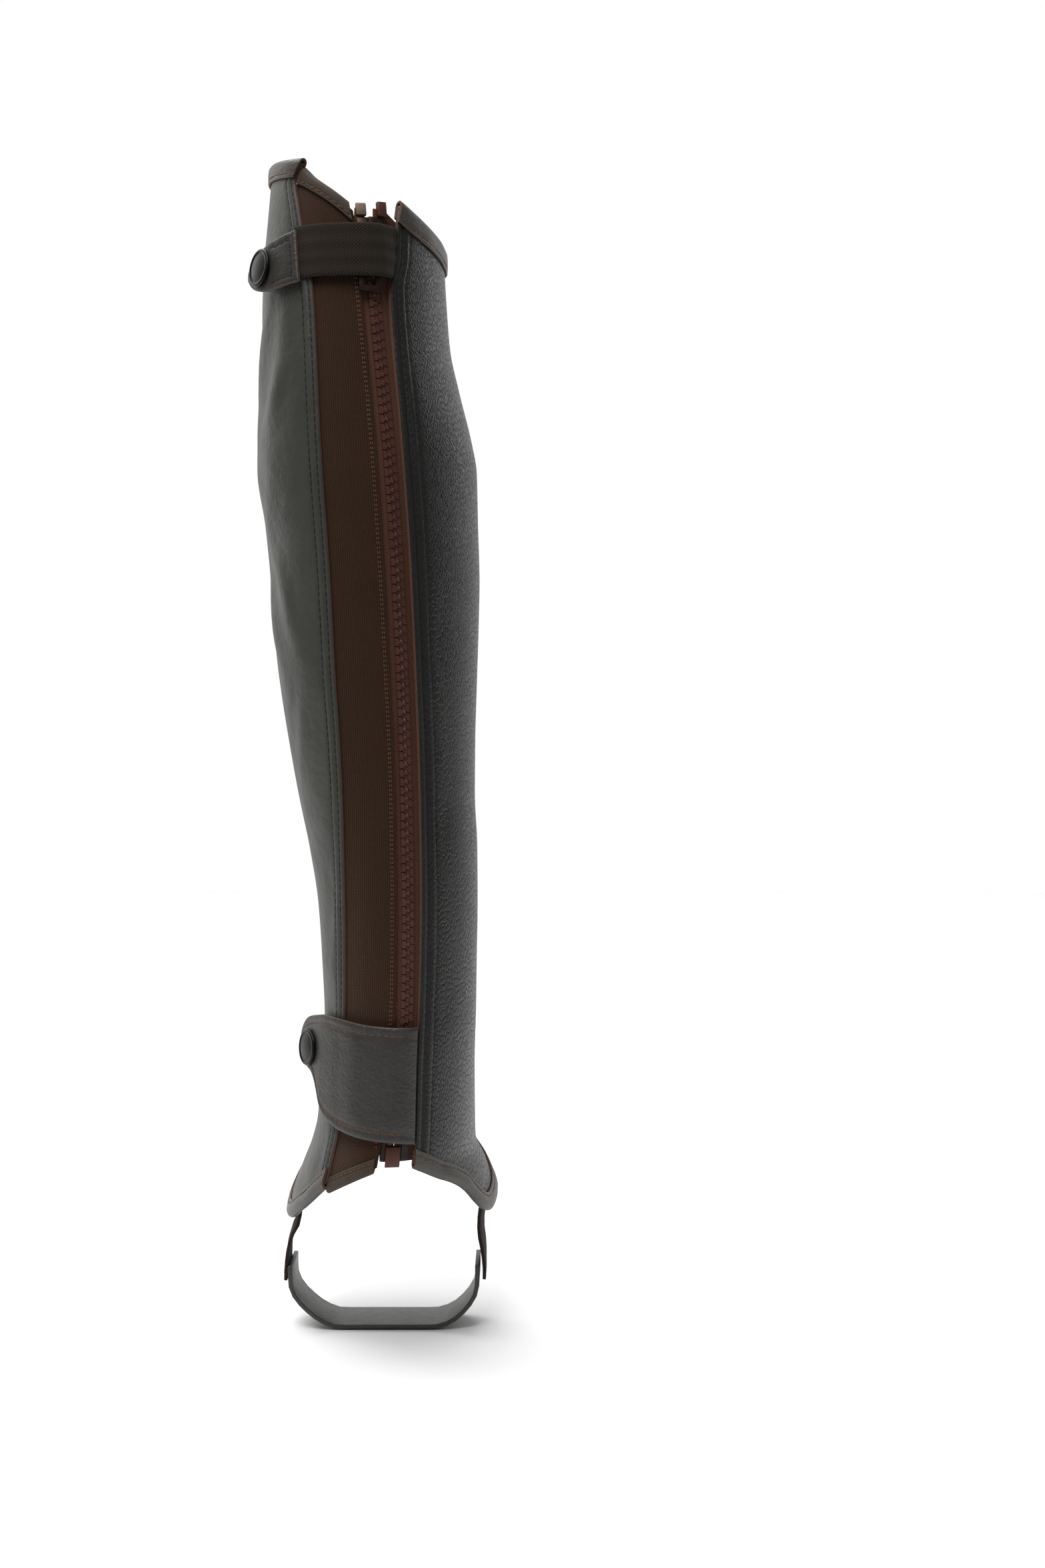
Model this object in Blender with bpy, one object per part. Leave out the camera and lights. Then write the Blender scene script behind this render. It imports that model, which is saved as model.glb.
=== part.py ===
"""Half chap for the left leg, filled out as when it is worn, with nothing inside it.

+Z is up, +Y is towards the toes and +X is the inner (medial) side of the leg. The origin is in
the middle of the calf. Every size below is in millimetres, and the meshes are written in metres.
The leg's form is a stack of sections. A place on it is a turn in degrees round the leg, counted
from the back towards the medial side, a height, and a distance out from the leather's face.
"""

import math

import bmesh
import bpy
import numpy as np
from mathutils import Matrix, Vector

MM = 0.001

# Walls and clearances
GAP = 0.3
LEATHER = 1.4
ELASTIC = 1.2
TAPE = 1.0
BINDING = 1.0
FLAP_LEATHER = 1.6
STRAP_WEBBING = 1.2
FOOT_ELASTIC = 1.5
SOLE_STRIP = 2.0

# Depths of the layers behind the leather's outer face
LEATHER_BACK = -LEATHER
ELASTIC_FACE = LEATHER_BACK - GAP
ELASTIC_BACK = ELASTIC_FACE - ELASTIC
TAPE_FACE = ELASTIC_BACK - GAP
TAPE_BACK = TAPE_FACE - TAPE

# Form of the leg: how far the leather reaches to each side at each height
BACK_ROUNDNESS = 2.15
FRONT_ROUNDNESS = 2.0
SECTION_COLUMNS = ("height", "lateral", "medial", "back", "front", "middle")
SECTIONS = (
    (128, -37.0, 33.2, -47.5, 61.5, 0),
    (118, -37.6, 33.4, -49.5, 62.0, 0),
    (92, -39.9, 34.0, -54.0, 63.0, 0),
    (76, -41.4, 34.6, -56.2, 63.3, 0),
    (58, -42.4, 35.6, -57.9, 63.5, 0),
    (40, -42.8, 37.1, -59.4, 63.4, 0),
    (22, -43.4, 41.0, -60.5, 63.0, 0),
    (0, -44.6, 46.4, -61.0, 62.0, 0),
    (-12, -45.0, 48.4, -61.0, 61.5, 0),
    (-35, -42.0, 48.9, -59.5, 60.0, 1),
    (-58, -39.6, 49.5, -57.0, 58.5, 2),
    (-80, -38.9, 49.0, -54.0, 57.0, 3),
    (-104, -36.2, 48.2, -51.0, 56.0, 4),
    (-127, -32.8, 47.5, -47.5, 55.0, 5),
    (-150, -28.9, 47.3, -44.5, 54.5, 6),
    (-174, -24.2, 48.3, -41.5, 54.5, 7),
    (-197, -20.9, 48.4, -39.0, 55.0, 8),
    (-221, -19.5, 48.0, -37.0, 56.0, 9),
    (-245, -18.7, 47.6, -36.0, 57.5, 11),
    (-268, -20.5, 46.9, -36.0, 61.0, 15),
    (-293, -22.9, 46.8, -37.0, 70.0, 24),
    (-305, -26.0, 46.9, -38.0, 77.0, 30),
    (-318, -31.1, 51.5, -39.5, 86.0, 36),
    (-332, -36.0, 55.7, -42.0, 95.0, 40),
    (-345, -38.0, 57.8, -44.0, 102.0, 42),
)

# Seams on the back of the leg: the x of each at each height
BACK_LINE_COLUMNS = ("height", "gusset", "elastic", "zip", "leather")
BACK_LINES = (
    (116, -19.6, -6.4, 4.4, 20.5),
    (109, -21.6, -4.4, 4.9, 19.9),
    (102, -25.0, -2.6, 5.5, 19.2),
    (92, -23.3, -0.7, 6.4, 18.2),
    (84, -21.9, 0.7, 7.1, 17.4),
    (70, -19.1, 2.4, 8.2, 17.0),
    (58, -16.8, 3.6, 9.2, 15.1),
    (34, -15.2, 6.0, 11.4, 16.6),
    (7, -14.1, 8.5, 13.8, 19.0),
    (-20, -12.7, 10.5, 16.0, 21.1),
    (-47, -11.1, 12.0, 17.7, 22.8),
    (-73, -9.9, 13.3, 18.8, 23.9),
    (-100, -8.9, 14.4, 19.8, 24.9),
    (-128, -7.6, 15.4, 20.5, 25.7),
    (-156, -7.0, 15.9, 20.9, 26.2),
    (-184, -7.0, 15.9, 20.9, 26.3),
    (-212, -7.3, 15.6, 20.7, 25.9),
    (-240, -7.8, 14.9, 20.0, 25.0),
    (-265, -8.9, 12.4, 17.6, 24.0),
    (-292, -11.2, 8.7, 14.4, 23.3),
    (-300, -12.9, 7.3, 13.8, 22.9),
    (-308, -14.6, 5.9, 13.2, 21.9),
    (-322, -18.0, 4.0, 12.6, 19.8),
)

# Top and bottom edges of the leather: height at each turn
EDGE_COLUMNS = ("turn", "height")
TOP_EDGE = (
    (-180, 105.5), (-150, 111.5), (-120, 115), (-95, 115.6), (-70, 114.2), (-42, 112), (-24, 110.6),
    (20, 97), (32, 94.4), (45, 90), (55, 87.2), (65, 85), (75, 83.4), (85, 82.2), (98, 82),
    (120, 85.5), (150, 95.5), (180, 105.5),
)
HEM_EDGE = (
    (-180, -297), (-160, -299.5), (-140, -307), (-125, -317), (-110, -328), (-96, -337),
    (-84, -340.3), (-72, -338.4), (-56, -329.5), (-41, -318), (-30, -311), (0, -303.5), (10, -304),
    (22, -307.2), (35, -311.9), (44.3, -315.4), (53.4, -321.2), (59.3, -327.6), (65, -332.4),
    (72, -334.8), (80, -334.3), (97, -330.5), (110, -323.5), (124, -314), (140, -305.5),
    (160, -299), (180, -297),
)
FRONT_SEAM = 180

# Elastic gusset: its slanting top and bottom edges, at the leather and at the zip
GUSSET_EDGE_COLUMNS = ("across", "top", "hem")
GUSSET_EDGES = (
    (0, 108.3, -317.5), (0.25, 105.6, -314.0), (0.5, 101.6, -310.3), (0.75, 96.8, -306.6),
    (1, 91.2, -303.0),
)
GUSSET_LAP = 8.0
GUSSET_LAP_END = 0.013
GUSSET_LAP_TOP = 101.5
GUSSET_LAP_HEM = -303.0
BAND_SHARES = (0.045, 0.27, 0.5, 0.73, 0.955)

# Folded edges: reach of the strip outside and inside the wall
BINDING_REACH = 7.8
BINDING_REACH_INSIDE = 7.0
BAND_REACH = 6.2
BAND_REACH_INSIDE = 5.4
FOLD_ANGLES = (0, 0, 45, 90, 135, 180, 180)

# Turned-in edge of the medial leather beside the zip, as shares of the panel's width
TURNED_EDGE_SHARE = 0.055
TURNED_EDGE_STEP = 0.062
TURNED_EDGE_ROWS = (0.09, 0.89)

# Zip
CHAIN_HALF_WIDTH = 2.95
CHAIN_THICKNESS = 2.8
CHAIN_BACK = (TAPE_FACE + TAPE_BACK - CHAIN_THICKNESS) / 2
CHAIN_TOP = 73.4
CHAIN_END = -295.8
TAPE_COLUMNS = ("height", "lateral", "medial")
TAPE_EDGES = (
    (91, -1.5, 2.6), (86, -1.9, 2.3), (80, -2.7, 2.7), (74, -3.25, 3.25),
    (-288, -3.25, 3.25), (-292.8, -3.95, 3.95), (-303, -3.95, 3.95),
)
TAPE_STATION_COLUMNS = ("girth", "low", "high")
TAPE_STATIONS = {
    "lateral": (
        (0, -302.5, 90.5), (-4.8, -302.5, 90.5), (-6.2, -302.3, 90.3), (-7.3, -293.5, 82),
        (-10.6, -293.5, 82), (-14, -293.5, 82),
    ),
    "medial": ((0, -302.5, 90.3), (7.5, -302.5, 90), (11, -302.5, 87.5), (17, -302.5, 83.5)),
}
BOX_HEIGHTS = (-304.8, -296.2)
BOX_HALF_WIDTH = 3.4
BOX_THICKNESS = 3.6
FILM_HEIGHTS = (-302.0, -290.6)
FILM_THICKNESS = 0.5
FILM_REACH = 7.2
STOP_COLUMNS = ("side", "girth", "low", "high", "width")
STOPS = (("lateral", -3.6, 86.5, 91.6, 4.4), ("medial", 5.6, 86.5, 92.6, 4.2))
STOP_THICKNESS = 2.4

# Zip slider: rows from its lower end to its throat
SLIDER_ROWS = (74.0, 76.4, 78.6, 83.4, 85.3, 86.0)
SLIDER_HALF_WIDTHS = (4.3, 4.4, 4.5, 5.3, 5.7, 5.3)
SLIDER_POST_HALF = 1.2
PLATE = 1.3

# Pull tab, hung on the slider's bail: rows from its lower end to its top
TAB_PIVOT_HEIGHT = 77.5
TAB_SWING = 5
TAB_ROWS = (-22.2, -19.7, -9.4, -2.3, 2.0, 3.7)
TAB_HALF_WIDTHS = (4.0, 4.45, 4.2, 3.1, 2.9, 2.5)
TAB_WINDOW_HALF = 2.4
TAB_THICKNESS = 1.2

# Top strap: an elastic strip sewn in beside the zip, with a snapped leather tab
STRAP_HEIGHTS = (61.4, 82.4)
STRAP_END = -32
STRAP_TAB_START = -30.5
STRAP_COLUMNS = ("girth", "out")
STRAP_RISE = (
    (-46, 0.5), (-30, 0.55), (-14, 1.0), (-6, 1.6), (-2.5, 2.0), (2.5, 2.0), (5.2, 1.1), (9.5, -0.7),
)
OUTLINE_COLUMNS = ("along", "low", "high", "out")
STRAP_TAB = (
    (0, 59.6, 80.2, 2.1), (7.2, 58.8, 79.0, 2.1), (11, 58.3, 78.3, 2.2), (14.7, 58.0, 77.5, 2.5),
    (18.4, 57.8, 76.5, 2.9), (22, 58.0, 75.2, 3.5), (25.4, 58.8, 73.4, 4.2), (28.7, 60.3, 70.9, 5.0),
    (31.5, 62.8, 68.2, 5.7), (32.6, 64.6, 66.4, 6.0),
)
STRAP_TAB_COLUMNS = (0, 5, 9, 13, 16.5, 20, 23, 26, 28.7, 30.8, 32.1, 32.6)

# Ankle flap over the foot of the zip
FLAP = (
    (0, -295.3, -246.0, -0.9), (5, -294.6, -245.9, 0.2), (20, -293.2, -245.2, 0.3),
    (34.5, -290.7, -243.9, 0.6), (40, -289.0, -243.6, 1.1), (44, -287.5, -243.4, 1.6),
    (47, -285.6, -243.4, 2.1), (49.5, -282.5, -243.5, 2.6), (51.5, -278.0, -243.8, 2.9),
    (54, -272.8, -244.3, 3.5), (57, -269.8, -244.9, 4.3), (60, -268.5, -245.8, 5.3),
    (63, -267.4, -247.3, 6.4), (66, -265.4, -250.3, 7.5), (68.2, -262.2, -254.2, 8.2),
    (69, -259.8, -257.0, 8.4),
)
FLAP_COLUMNS = (
    0, 2.5, 5, 10, 15, 20, 25, 30, 35, 40, 44, 47, 49.5, 51.5, 54, 57, 60, 63, 66, 68.2, 69,
)

# Snap fasteners: where each sits on its tab
SNAP_COLUMNS = ("name", "along", "height")
TOP_SNAP = ("top_snap", 21.6, 67.6)
ANKLE_SNAP = ("ankle_snap", 59.2, -259.8)
CAP_PROFILE = ((7.7, 0.0), (7.8, 0.5), (7.4, 1.0), (6.6, 1.15), (6.2, 0.95), (3.5, 1.25), (0.0, 1.35))
STUD_RADIUS = 4.2
STUD_CLEAR = 0.7
ROUND_STEPS = 20

# Foot strap: elastic from each tip of the hem, and a strip under the arch of the sole
FOOT_STRAP_Y = 24.0
FOOT_ELASTIC_WIDTH = 22.0
SOLE_STRIP_WIDTH = 27.0
FOOT_HANG_TOP = -338.0
FOOT_FLAT_BELOW = -362.0
PATH_COLUMNS = ("x", "height")
FOOT_LATERAL = (
    (4.3, -325), (4.3, -331), (4.4, -337), (4.2, -340.5), (2.6, -344), (0.8, -348), (-0.3, -354),
    (-0.7, -361), (-0.8, -367),
)
FOOT_MEDIAL = (
    (-4.3, -320), (-4.3, -326), (-4.4, -331.5), (-5.4, -336.5), (-6.4, -341), (-6.4, -346),
    (-5.5, -353), (-5.0, -360), (-5.0, -366.5),
)
SOLE_PATH = (
    (-34.9, -360), (-34.9, -367), (-34.2, -370.8), (-31.2, -375.8), (-26.4, -380.6), (-20.5, -384.8),
    (-13.5, -387), (28, -387), (35, -385.3), (41, -381.0), (45.6, -375.3), (47.6, -370.6),
    (48.0, -366), (48.0, -359.5),
)

# Soft creases of the lateral leather: raised lines from one place to another
CREASE_COLUMNS = ("turn", "height", "end_turn", "end_height", "width", "rise")
CREASES = (
    (-61, 57, -80, 8, 5.5, 0.9),
    (-38, 38, -57, -2, 6.0, 0.8),
    (-64, -38, -40, -92, 6.0, 0.9),
    (-82, -52, -58, -104, 6.0, 0.7),
)

SETTLE_ROUNDS = 8
PANEL_COLUMNS = 18

# Rows of the long pieces: level between two heights, where they match from piece to piece
LEVEL_HEIGHTS = (-288.0, 72.0)
LEVEL_SHARES = (0.15, 0.85)
LEVEL_ROWS = 36

FINISHES = {
    "smooth_leather": ("#45453f", 0.45, 0.0),
    "grained_leather": ("#2a2724", 0.42, 0.0),
    "binding_leather": ("#5a5552", 0.45, 0.0),
    "knit_elastic": ("#36261d", 0.9, 0.0),
    "band_cloth": ("#453d34", 0.85, 0.0),
    "zip_tape": ("#483229", 0.9, 0.0),
    "zip_plastic": ("#4a2c25", 0.4, 0.0),
    "zip_metal": ("#3a302b", 0.3, 1.0),
    "film": ("#3a3634", 0.25, 0.0),
    "strap_webbing": ("#29231d", 0.9, 0.0),
    "snap_metal": ("#32332f", 0.35, 1.0),
    "foot_webbing": ("#2e2521", 0.9, 0.0),
}


def table(columns, rows):
    """The named columns of a table, in rising order of its first column."""
    ordered = sorted(rows)
    return {name: np.array([row[place] for row in ordered], float) for place, name in enumerate(columns)}


def smooth_through(knots, values, at):
    """Values at `at` on the smooth curve through the knots, which never overshoots them."""
    steps = np.diff(knots)
    slopes = np.diff(values) / steps
    before, after = slopes[:-1], slopes[1:]
    same_way = before * after > 0
    total = np.where(same_way, before + after, 1.0)
    middle = np.where(same_way, 2 * before * after / total, 0.0)
    tangents = np.concatenate((slopes[:1], middle, slopes[-1:]))
    at = np.clip(np.asarray(at, float), knots[0], knots[-1])
    low = np.clip(np.searchsorted(knots, at, side="right") - 1, 0, len(steps) - 1)
    share = (at - knots[low]) / steps[low]
    rest = 1 - share
    return (
        (1 + 2 * share) * rest**2 * values[low]
        + share**2 * (3 - 2 * share) * values[low + 1]
        + steps[low] * share * rest * (rest * tangents[low] - share * tangents[low + 1])
    )


def read(source, name, at):
    """One column of a table, read at values of its first column."""
    first = next(iter(source))
    return smooth_through(source[first], source[name], at)


def between(start, end, share):
    return start + (end - start) * share


SECTION = table(SECTION_COLUMNS, SECTIONS)
BACK_LINE = table(BACK_LINE_COLUMNS, BACK_LINES)
TOP = table(EDGE_COLUMNS, TOP_EDGE)
HEM = table(EDGE_COLUMNS, HEM_EDGE)
GUSSET_EDGE = table(GUSSET_EDGE_COLUMNS, GUSSET_EDGES)
TAPE_LINE = table(TAPE_COLUMNS, TAPE_EDGES)
STRAP_LINE = table(STRAP_COLUMNS, STRAP_RISE)
STRAP_TAB_LINE = table(OUTLINE_COLUMNS, STRAP_TAB)
FLAP_LINE = table(OUTLINE_COLUMNS, FLAP)


def ring(turn, height):
    """Points of the leather's smooth outer face."""
    lateral, medial, back, front, middle = (read(SECTION, name, height) for name in SECTION_COLUMNS[1:])
    sine, cosine = np.sin(np.radians(turn)), np.cos(np.radians(turn))
    behind = cosine > 0
    power = 2 / np.where(behind, BACK_ROUNDNESS, FRONT_ROUNDNESS)
    depth = np.where(behind, middle - back, front - middle)
    x = (medial + lateral) / 2 + (medial - lateral) / 2 * np.sign(sine) * np.abs(sine) ** power
    y = middle - depth * np.sign(cosine) * np.abs(cosine) ** power
    return np.stack((x, y, height + 0 * x), axis=-1)


def crease_rise(turn, height):
    """How far the soft creases lift the leather at a place."""
    rise = np.zeros(np.broadcast(turn, height).shape)
    for start_turn, start, end_turn, end, width, amount in CREASES:
        share = np.clip((height - start) / (end - start), 0, 1)
        aside = (turn - between(start_turn, end_turn, share)) * 0.8 / width
        past = (height - between(start, end, share)) / (2 * width)
        fade = np.exp(-(past**2)) * np.sin(math.pi * np.clip(share, 0.12, 0.88))
        rise += amount * fade * (np.exp(-(aside**2)) - 0.5 * np.exp(-((aside + 1.7) ** 2)))
    return rise


def skin(turn, height, out):
    """Points at a distance out from the leather's face, along its normal."""
    turn, height, out = np.broadcast_arrays(*(np.asarray(v, float) for v in (turn, height, out)))
    along = ring(turn + 0.4, height) - ring(turn - 0.4, height)
    upward = ring(turn, height + 1.0) - ring(turn, height - 1.0)
    normal = np.cross(along, upward)
    normal /= np.linalg.norm(normal, axis=-1, keepdims=True)
    return ring(turn, height) + normal * (out + crease_rise(turn, height))[..., None]


GIRTH_STEP = 2.0
GIRTH_HEIGHTS = np.arange(-350, 130, GIRTH_STEP)
GIRTH_TURNS = np.arange(-180, 181, 1.0)


def line_turn(name, height):
    """Turn of one of the back lines at a height."""
    lateral, medial = read(SECTION, "lateral", height), read(SECTION, "medial", height)
    aside = (read(BACK_LINE, name, height) - (medial + lateral) / 2) / ((medial - lateral) / 2)
    return np.degrees(np.arcsin(np.sign(aside) * np.abs(aside) ** (BACK_ROUNDNESS / 2)))


def measure_girths():
    """Distance round the leg from the zip to every turn, at every height of the list."""
    rows = []
    for height in GIRTH_HEIGHTS:
        points = ring(GIRTH_TURNS, height + 0 * GIRTH_TURNS)
        lengths = np.linalg.norm(np.diff(points, axis=0), axis=1)
        round_leg = np.concatenate(([0], np.cumsum(lengths)))
        rows.append(round_leg - np.interp(line_turn("zip", height), GIRTH_TURNS, round_leg))
    return rows


GIRTHS = measure_girths()


def girth_rows(height):
    """The two measured heights beside a height, and the share between them."""
    place = np.clip((height - GIRTH_HEIGHTS[0]) / GIRTH_STEP, 0, len(GIRTHS) - 1.001)
    low = int(place)
    return GIRTHS[low], GIRTHS[low + 1], place - low


def turn_at(girth, height):
    """Turn of the place that lies `girth` round the leg from the zip, medial side positive."""
    turns = []
    for distance, level in zip(*np.broadcast_arrays(girth, height)):
        lower, upper, share = girth_rows(level)
        turns.append(between(*(np.interp(distance, row, GIRTH_TURNS) for row in (lower, upper)), share))
    return np.array(turns)


def girth_at(turn, height):
    """Distance round the leg from the zip to a turn."""
    girths = []
    for angle, level in zip(*np.broadcast_arrays(turn, height)):
        lower, upper, share = girth_rows(level)
        girths.append(between(*(np.interp(angle, GIRTH_TURNS, row) for row in (lower, upper)), share))
    return np.array(girths)


def line_girth(name, height):
    return girth_at(line_turn(name, height), height)


def lean(edge, turn):
    """How much longer a strip's reach is straight up than square to a slanting edge."""
    step = 1.0
    height = read(edge, "height", turn)
    apart = np.linalg.norm(ring(turn + step, height) - ring(turn - step, height), axis=-1)
    slope = (read(edge, "height", turn + step) - read(edge, "height", turn - step)) / apart
    return np.sqrt(1 + slope**2)


def colour(text):
    """Linear colour of an sRGB hex value."""
    parts = [int(text[place:place + 2], 16) / 255 for place in (1, 3, 5)]
    linear = [part / 12.92 if part <= 0.04045 else ((part + 0.055) / 1.055) ** 2.4 for part in parts]
    return (*linear, 1.0)


def finish(name):
    """The material of one finish, made once."""
    made = bpy.data.materials.get(name)
    if made:
        return made
    tone, roughness, metallic = FINISHES[name]
    made = bpy.data.materials.new(name)
    made.use_nodes = True
    shader = made.node_tree.nodes["Principled BSDF"]
    shader.inputs["Base Color"].default_value = colour(tone)
    shader.inputs["Roughness"].default_value = roughness
    shader.inputs["Metallic"].default_value = metallic
    made.diffuse_color = colour(tone)
    return made


def keep(form, name, look):
    """Turn a finished form into a named object with its material."""
    bmesh.ops.recalc_face_normals(form, faces=form.faces[:])
    if form.calc_volume(signed=True) < 0:
        bmesh.ops.reverse_faces(form, faces=form.faces[:])
    mesh = bpy.data.meshes.new(name)
    form.to_mesh(mesh)
    form.free()
    mesh.shade_smooth()
    mesh.set_sharp_from_angle(angle=math.radians(35))
    mesh.materials.append(finish(look))
    piece = bpy.data.objects.new(name, mesh)
    bpy.context.scene.collection.objects.link(piece)
    return piece


def slab(name, across, up, place, look):
    """One closed sheet: a grid over two lists of stations, with an outer and an inner face."""
    form = bmesh.new()
    column = form.verts.layers.float.new("across")
    row = form.verts.layers.float.new("up")
    bmesh.ops.create_grid(form, x_segments=len(across) - 1, y_segments=len(up) - 1, size=0.5)
    for vertex in form.verts:
        vertex[column] = across[round((vertex.co.x + 0.5) * (len(across) - 1))]
        vertex[row] = up[round((vertex.co.y + 0.5) * (len(up) - 1))]
    outer = form.verts[:]
    grown = bmesh.ops.extrude_face_region(form, geom=form.faces[:], use_keep_orig=True)
    inner = [part for part in grown["geom"] if isinstance(part, bmesh.types.BMVert)]
    for is_outer, vertices in ((True, outer), (False, inner)):
        stations = np.array([(vertex[column], vertex[row]) for vertex in vertices])
        points = place(stations[:, 0], stations[:, 1], is_outer)
        for vertex, point in zip(vertices, points):
            vertex.co = Vector(point) * MM
    return keep(form, name, look)


def blocks(name, columns, rows, layers, filled, place, look):
    """One solid of filled cells in a lattice, moved into place."""
    form = bmesh.new()
    corners = {}

    def corner(key):
        if key not in corners:
            spot = (columns[key[0]], rows[key[1]], layers[key[2]])
            corners[key] = form.verts.new(Vector(place(*spot, key)) * MM)
        return corners[key]

    sides = (
        ((1, 0, 0), ((1, 0, 0), (1, 1, 0), (1, 1, 1), (1, 0, 1))),
        ((-1, 0, 0), ((0, 0, 0), (0, 0, 1), (0, 1, 1), (0, 1, 0))),
        ((0, 1, 0), ((0, 1, 0), (0, 1, 1), (1, 1, 1), (1, 1, 0))),
        ((0, -1, 0), ((0, 0, 0), (1, 0, 0), (1, 0, 1), (0, 0, 1))),
        ((0, 0, 1), ((0, 0, 1), (1, 0, 1), (1, 1, 1), (0, 1, 1))),
        ((0, 0, -1), ((0, 0, 0), (0, 1, 0), (1, 1, 0), (1, 0, 0))),
    )
    for cell in filled:
        for step, side in sides:
            if tuple(a + b for a, b in zip(cell, step)) not in filled:
                form.faces.new([corner(tuple(a + b for a, b in zip(cell, spot))) for spot in side])
    return keep(form, name, look)


def cells(columns, rows, layers):
    """Every cell of the given ranges of a lattice."""
    return {(a, b, c) for a in columns for b in rows for c in layers}


def shares(count):
    return [place / count for place in range(count + 1)]


def fold(row, is_outer, face, back, reach, reach_inside):
    """Drop from the crest and distance out, for a strip folded over a wall's edge."""
    last = len(FOLD_ANGLES) - 1
    inner_radius = (face - back) / 2 + GAP
    crest = inner_radius + BINDING
    radius = crest if is_outer else inner_radius
    angle = np.radians(np.interp(row, range(last + 1), FOLD_ANGLES))
    down = np.interp(row, (0, 1, last - 1, last), (reach, crest, crest, reach_inside))
    return down - radius * np.sin(angle), (face + back) / 2 + radius * np.cos(angle)


def level_rows(hem_rows, top_rows):
    """Row stations of a long piece, with its own number of rows below and above the level ones."""
    first, last = LEVEL_SHARES
    below = [first * share for share in shares(hem_rows)]
    level = [between(first, last, share) for share in shares(LEVEL_ROWS)]
    above = [between(last, 1.0, share) for share in shares(top_rows)]
    return below + level[1:] + above[1:]


def row_height(up, low, high):
    """Height of a row station between a piece's own lower and upper edges."""
    first, last = LEVEL_SHARES
    lower, upper = LEVEL_HEIGHTS
    below = between(low, lower, up / first)
    level = between(lower, upper, (up - first) / (last - first))
    above = between(upper, high, (up - last) / (1 - last))
    return np.where(up < first, below, np.where(up > last, above, level))


EDGE_INSET = LEATHER / 2 + GAP + BINDING
GUSSET_INSET = ELASTIC / 2 + GAP + BINDING
SEAM_TURN = math.degrees(GAP / 2 / 34)
BAND_ROWS = (0, 1, 2, 3, 4, 5, 6)
BINDING_ROWS = (0, 0.5, 1, 2, 3, 4, 5, 5.5, 6)
LATERAL_COLUMNS = shares(PANEL_COLUMNS)
MEDIAL_COLUMNS = [0.0, 0.03, TURNED_EDGE_SHARE, TURNED_EDGE_STEP]
MEDIAL_COLUMNS += [between(TURNED_EDGE_STEP, 1.0, share) for share in shares(PANEL_COLUMNS - 2)[1:]]


def panel_place(line, seam, inner_depth):
    """Places on a leather panel: across from its back line to the front seam, up from hem to top."""
    def place(across, up, is_outer):
        height = between(-300.0, 100.0, up)
        for _ in range(SETTLE_ROUNDS):
            turn = between(line_turn(line, height), seam, across)
            low = read(HEM, "height", turn) + EDGE_INSET * lean(HEM, turn)
            high = read(TOP, "height", turn) - EDGE_INSET * lean(TOP, turn)
            height = row_height(up, low, high)
        return skin(turn, height, 0.0 if is_outer else inner_depth(across, up))
    return place


def medial_depth(across, up):
    """The medial leather is turned in along the zip, so it is twice as thick there."""
    low, high = TURNED_EDGE_ROWS
    turned = (across <= TURNED_EDGE_SHARE + 1e-6) & (up > low) & (up < high)
    return np.where(turned, ELASTIC_BACK, LEATHER_BACK)


def lateral_panel():
    place = panel_place("gusset", -FRONT_SEAM + SEAM_TURN, lambda across, up: LEATHER_BACK)
    slab("lateral_panel", LATERAL_COLUMNS, level_rows(10, 5), place, "smooth_leather")


def medial_panel():
    place = panel_place("leather", FRONT_SEAM - SEAM_TURN, medial_depth)
    slab("medial_panel", MEDIAL_COLUMNS, level_rows(9, 6), place, "grained_leather")


def edge_binding(name, line, columns, seam, edge, way):
    """A leather strip folded over the top edge (way -1) or the hem (way +1)."""
    def place(across, row, is_outer):
        drop, out = fold(row, is_outer, 0.0, LEATHER_BACK, BINDING_REACH, BINDING_REACH_INSIDE)
        height = np.full(len(across), 100.0 if way < 0 else -300.0)
        for _ in range(SETTLE_ROUNDS):
            turn = between(line_turn(line, height), seam, across)
            height = read(edge, "height", turn) + way * drop * lean(edge, turn)
        return skin(turn, height, out)
    slab(name, columns, BINDING_ROWS, place, "binding_leather")


def gusset_turn(across, height):
    """Turn across the gusset, from its leather edge at 0 to its zip edge at 1, the lap below 0."""
    start, end = line_girth("gusset", height), line_girth("elastic", height)
    girth = np.where(across < 0, start + across * GUSSET_LAP, between(start, end, across))
    return turn_at(girth, height)


def gusset_edge(end, across):
    return read(GUSSET_EDGE, end, np.clip(across, 0, 1))


def gusset_lean(end, across):
    """How much longer a strip's reach is straight up than square to the elastic's slanting edge."""
    start, stop = np.clip(across - 0.05, 0, 1), np.clip(across + 0.05, 0, 1)
    height = gusset_edge(end, across)
    run = (line_girth("elastic", height) - line_girth("gusset", height)) * (stop - start)
    return np.hypot(1, (gusset_edge(end, stop) - gusset_edge(end, start)) / run)


def elastic_gusset():
    def place(across, up, is_outer):
        lap = across < GUSSET_LAP_END + 1e-6
        shown = np.clip(across, 0, 1)
        hem_end = gusset_edge("hem", across) + GUSSET_INSET * gusset_lean("hem", shown)
        top_end = gusset_edge("top", across) - GUSSET_INSET * gusset_lean("top", shown)
        low = np.where(lap, GUSSET_LAP_HEM, hem_end)
        high = np.where(lap, GUSSET_LAP_TOP, top_end)
        height = row_height(up, low, high)
        return skin(gusset_turn(across, height), height, ELASTIC_FACE if is_outer else ELASTIC_BACK)
    stations = [-1.0, GUSSET_LAP_END, GUSSET_LAP_END + 0.015, *BAND_SHARES[1:], 1.0]
    slab("elastic_gusset", stations, level_rows(4, 4), place, "knit_elastic")


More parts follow.
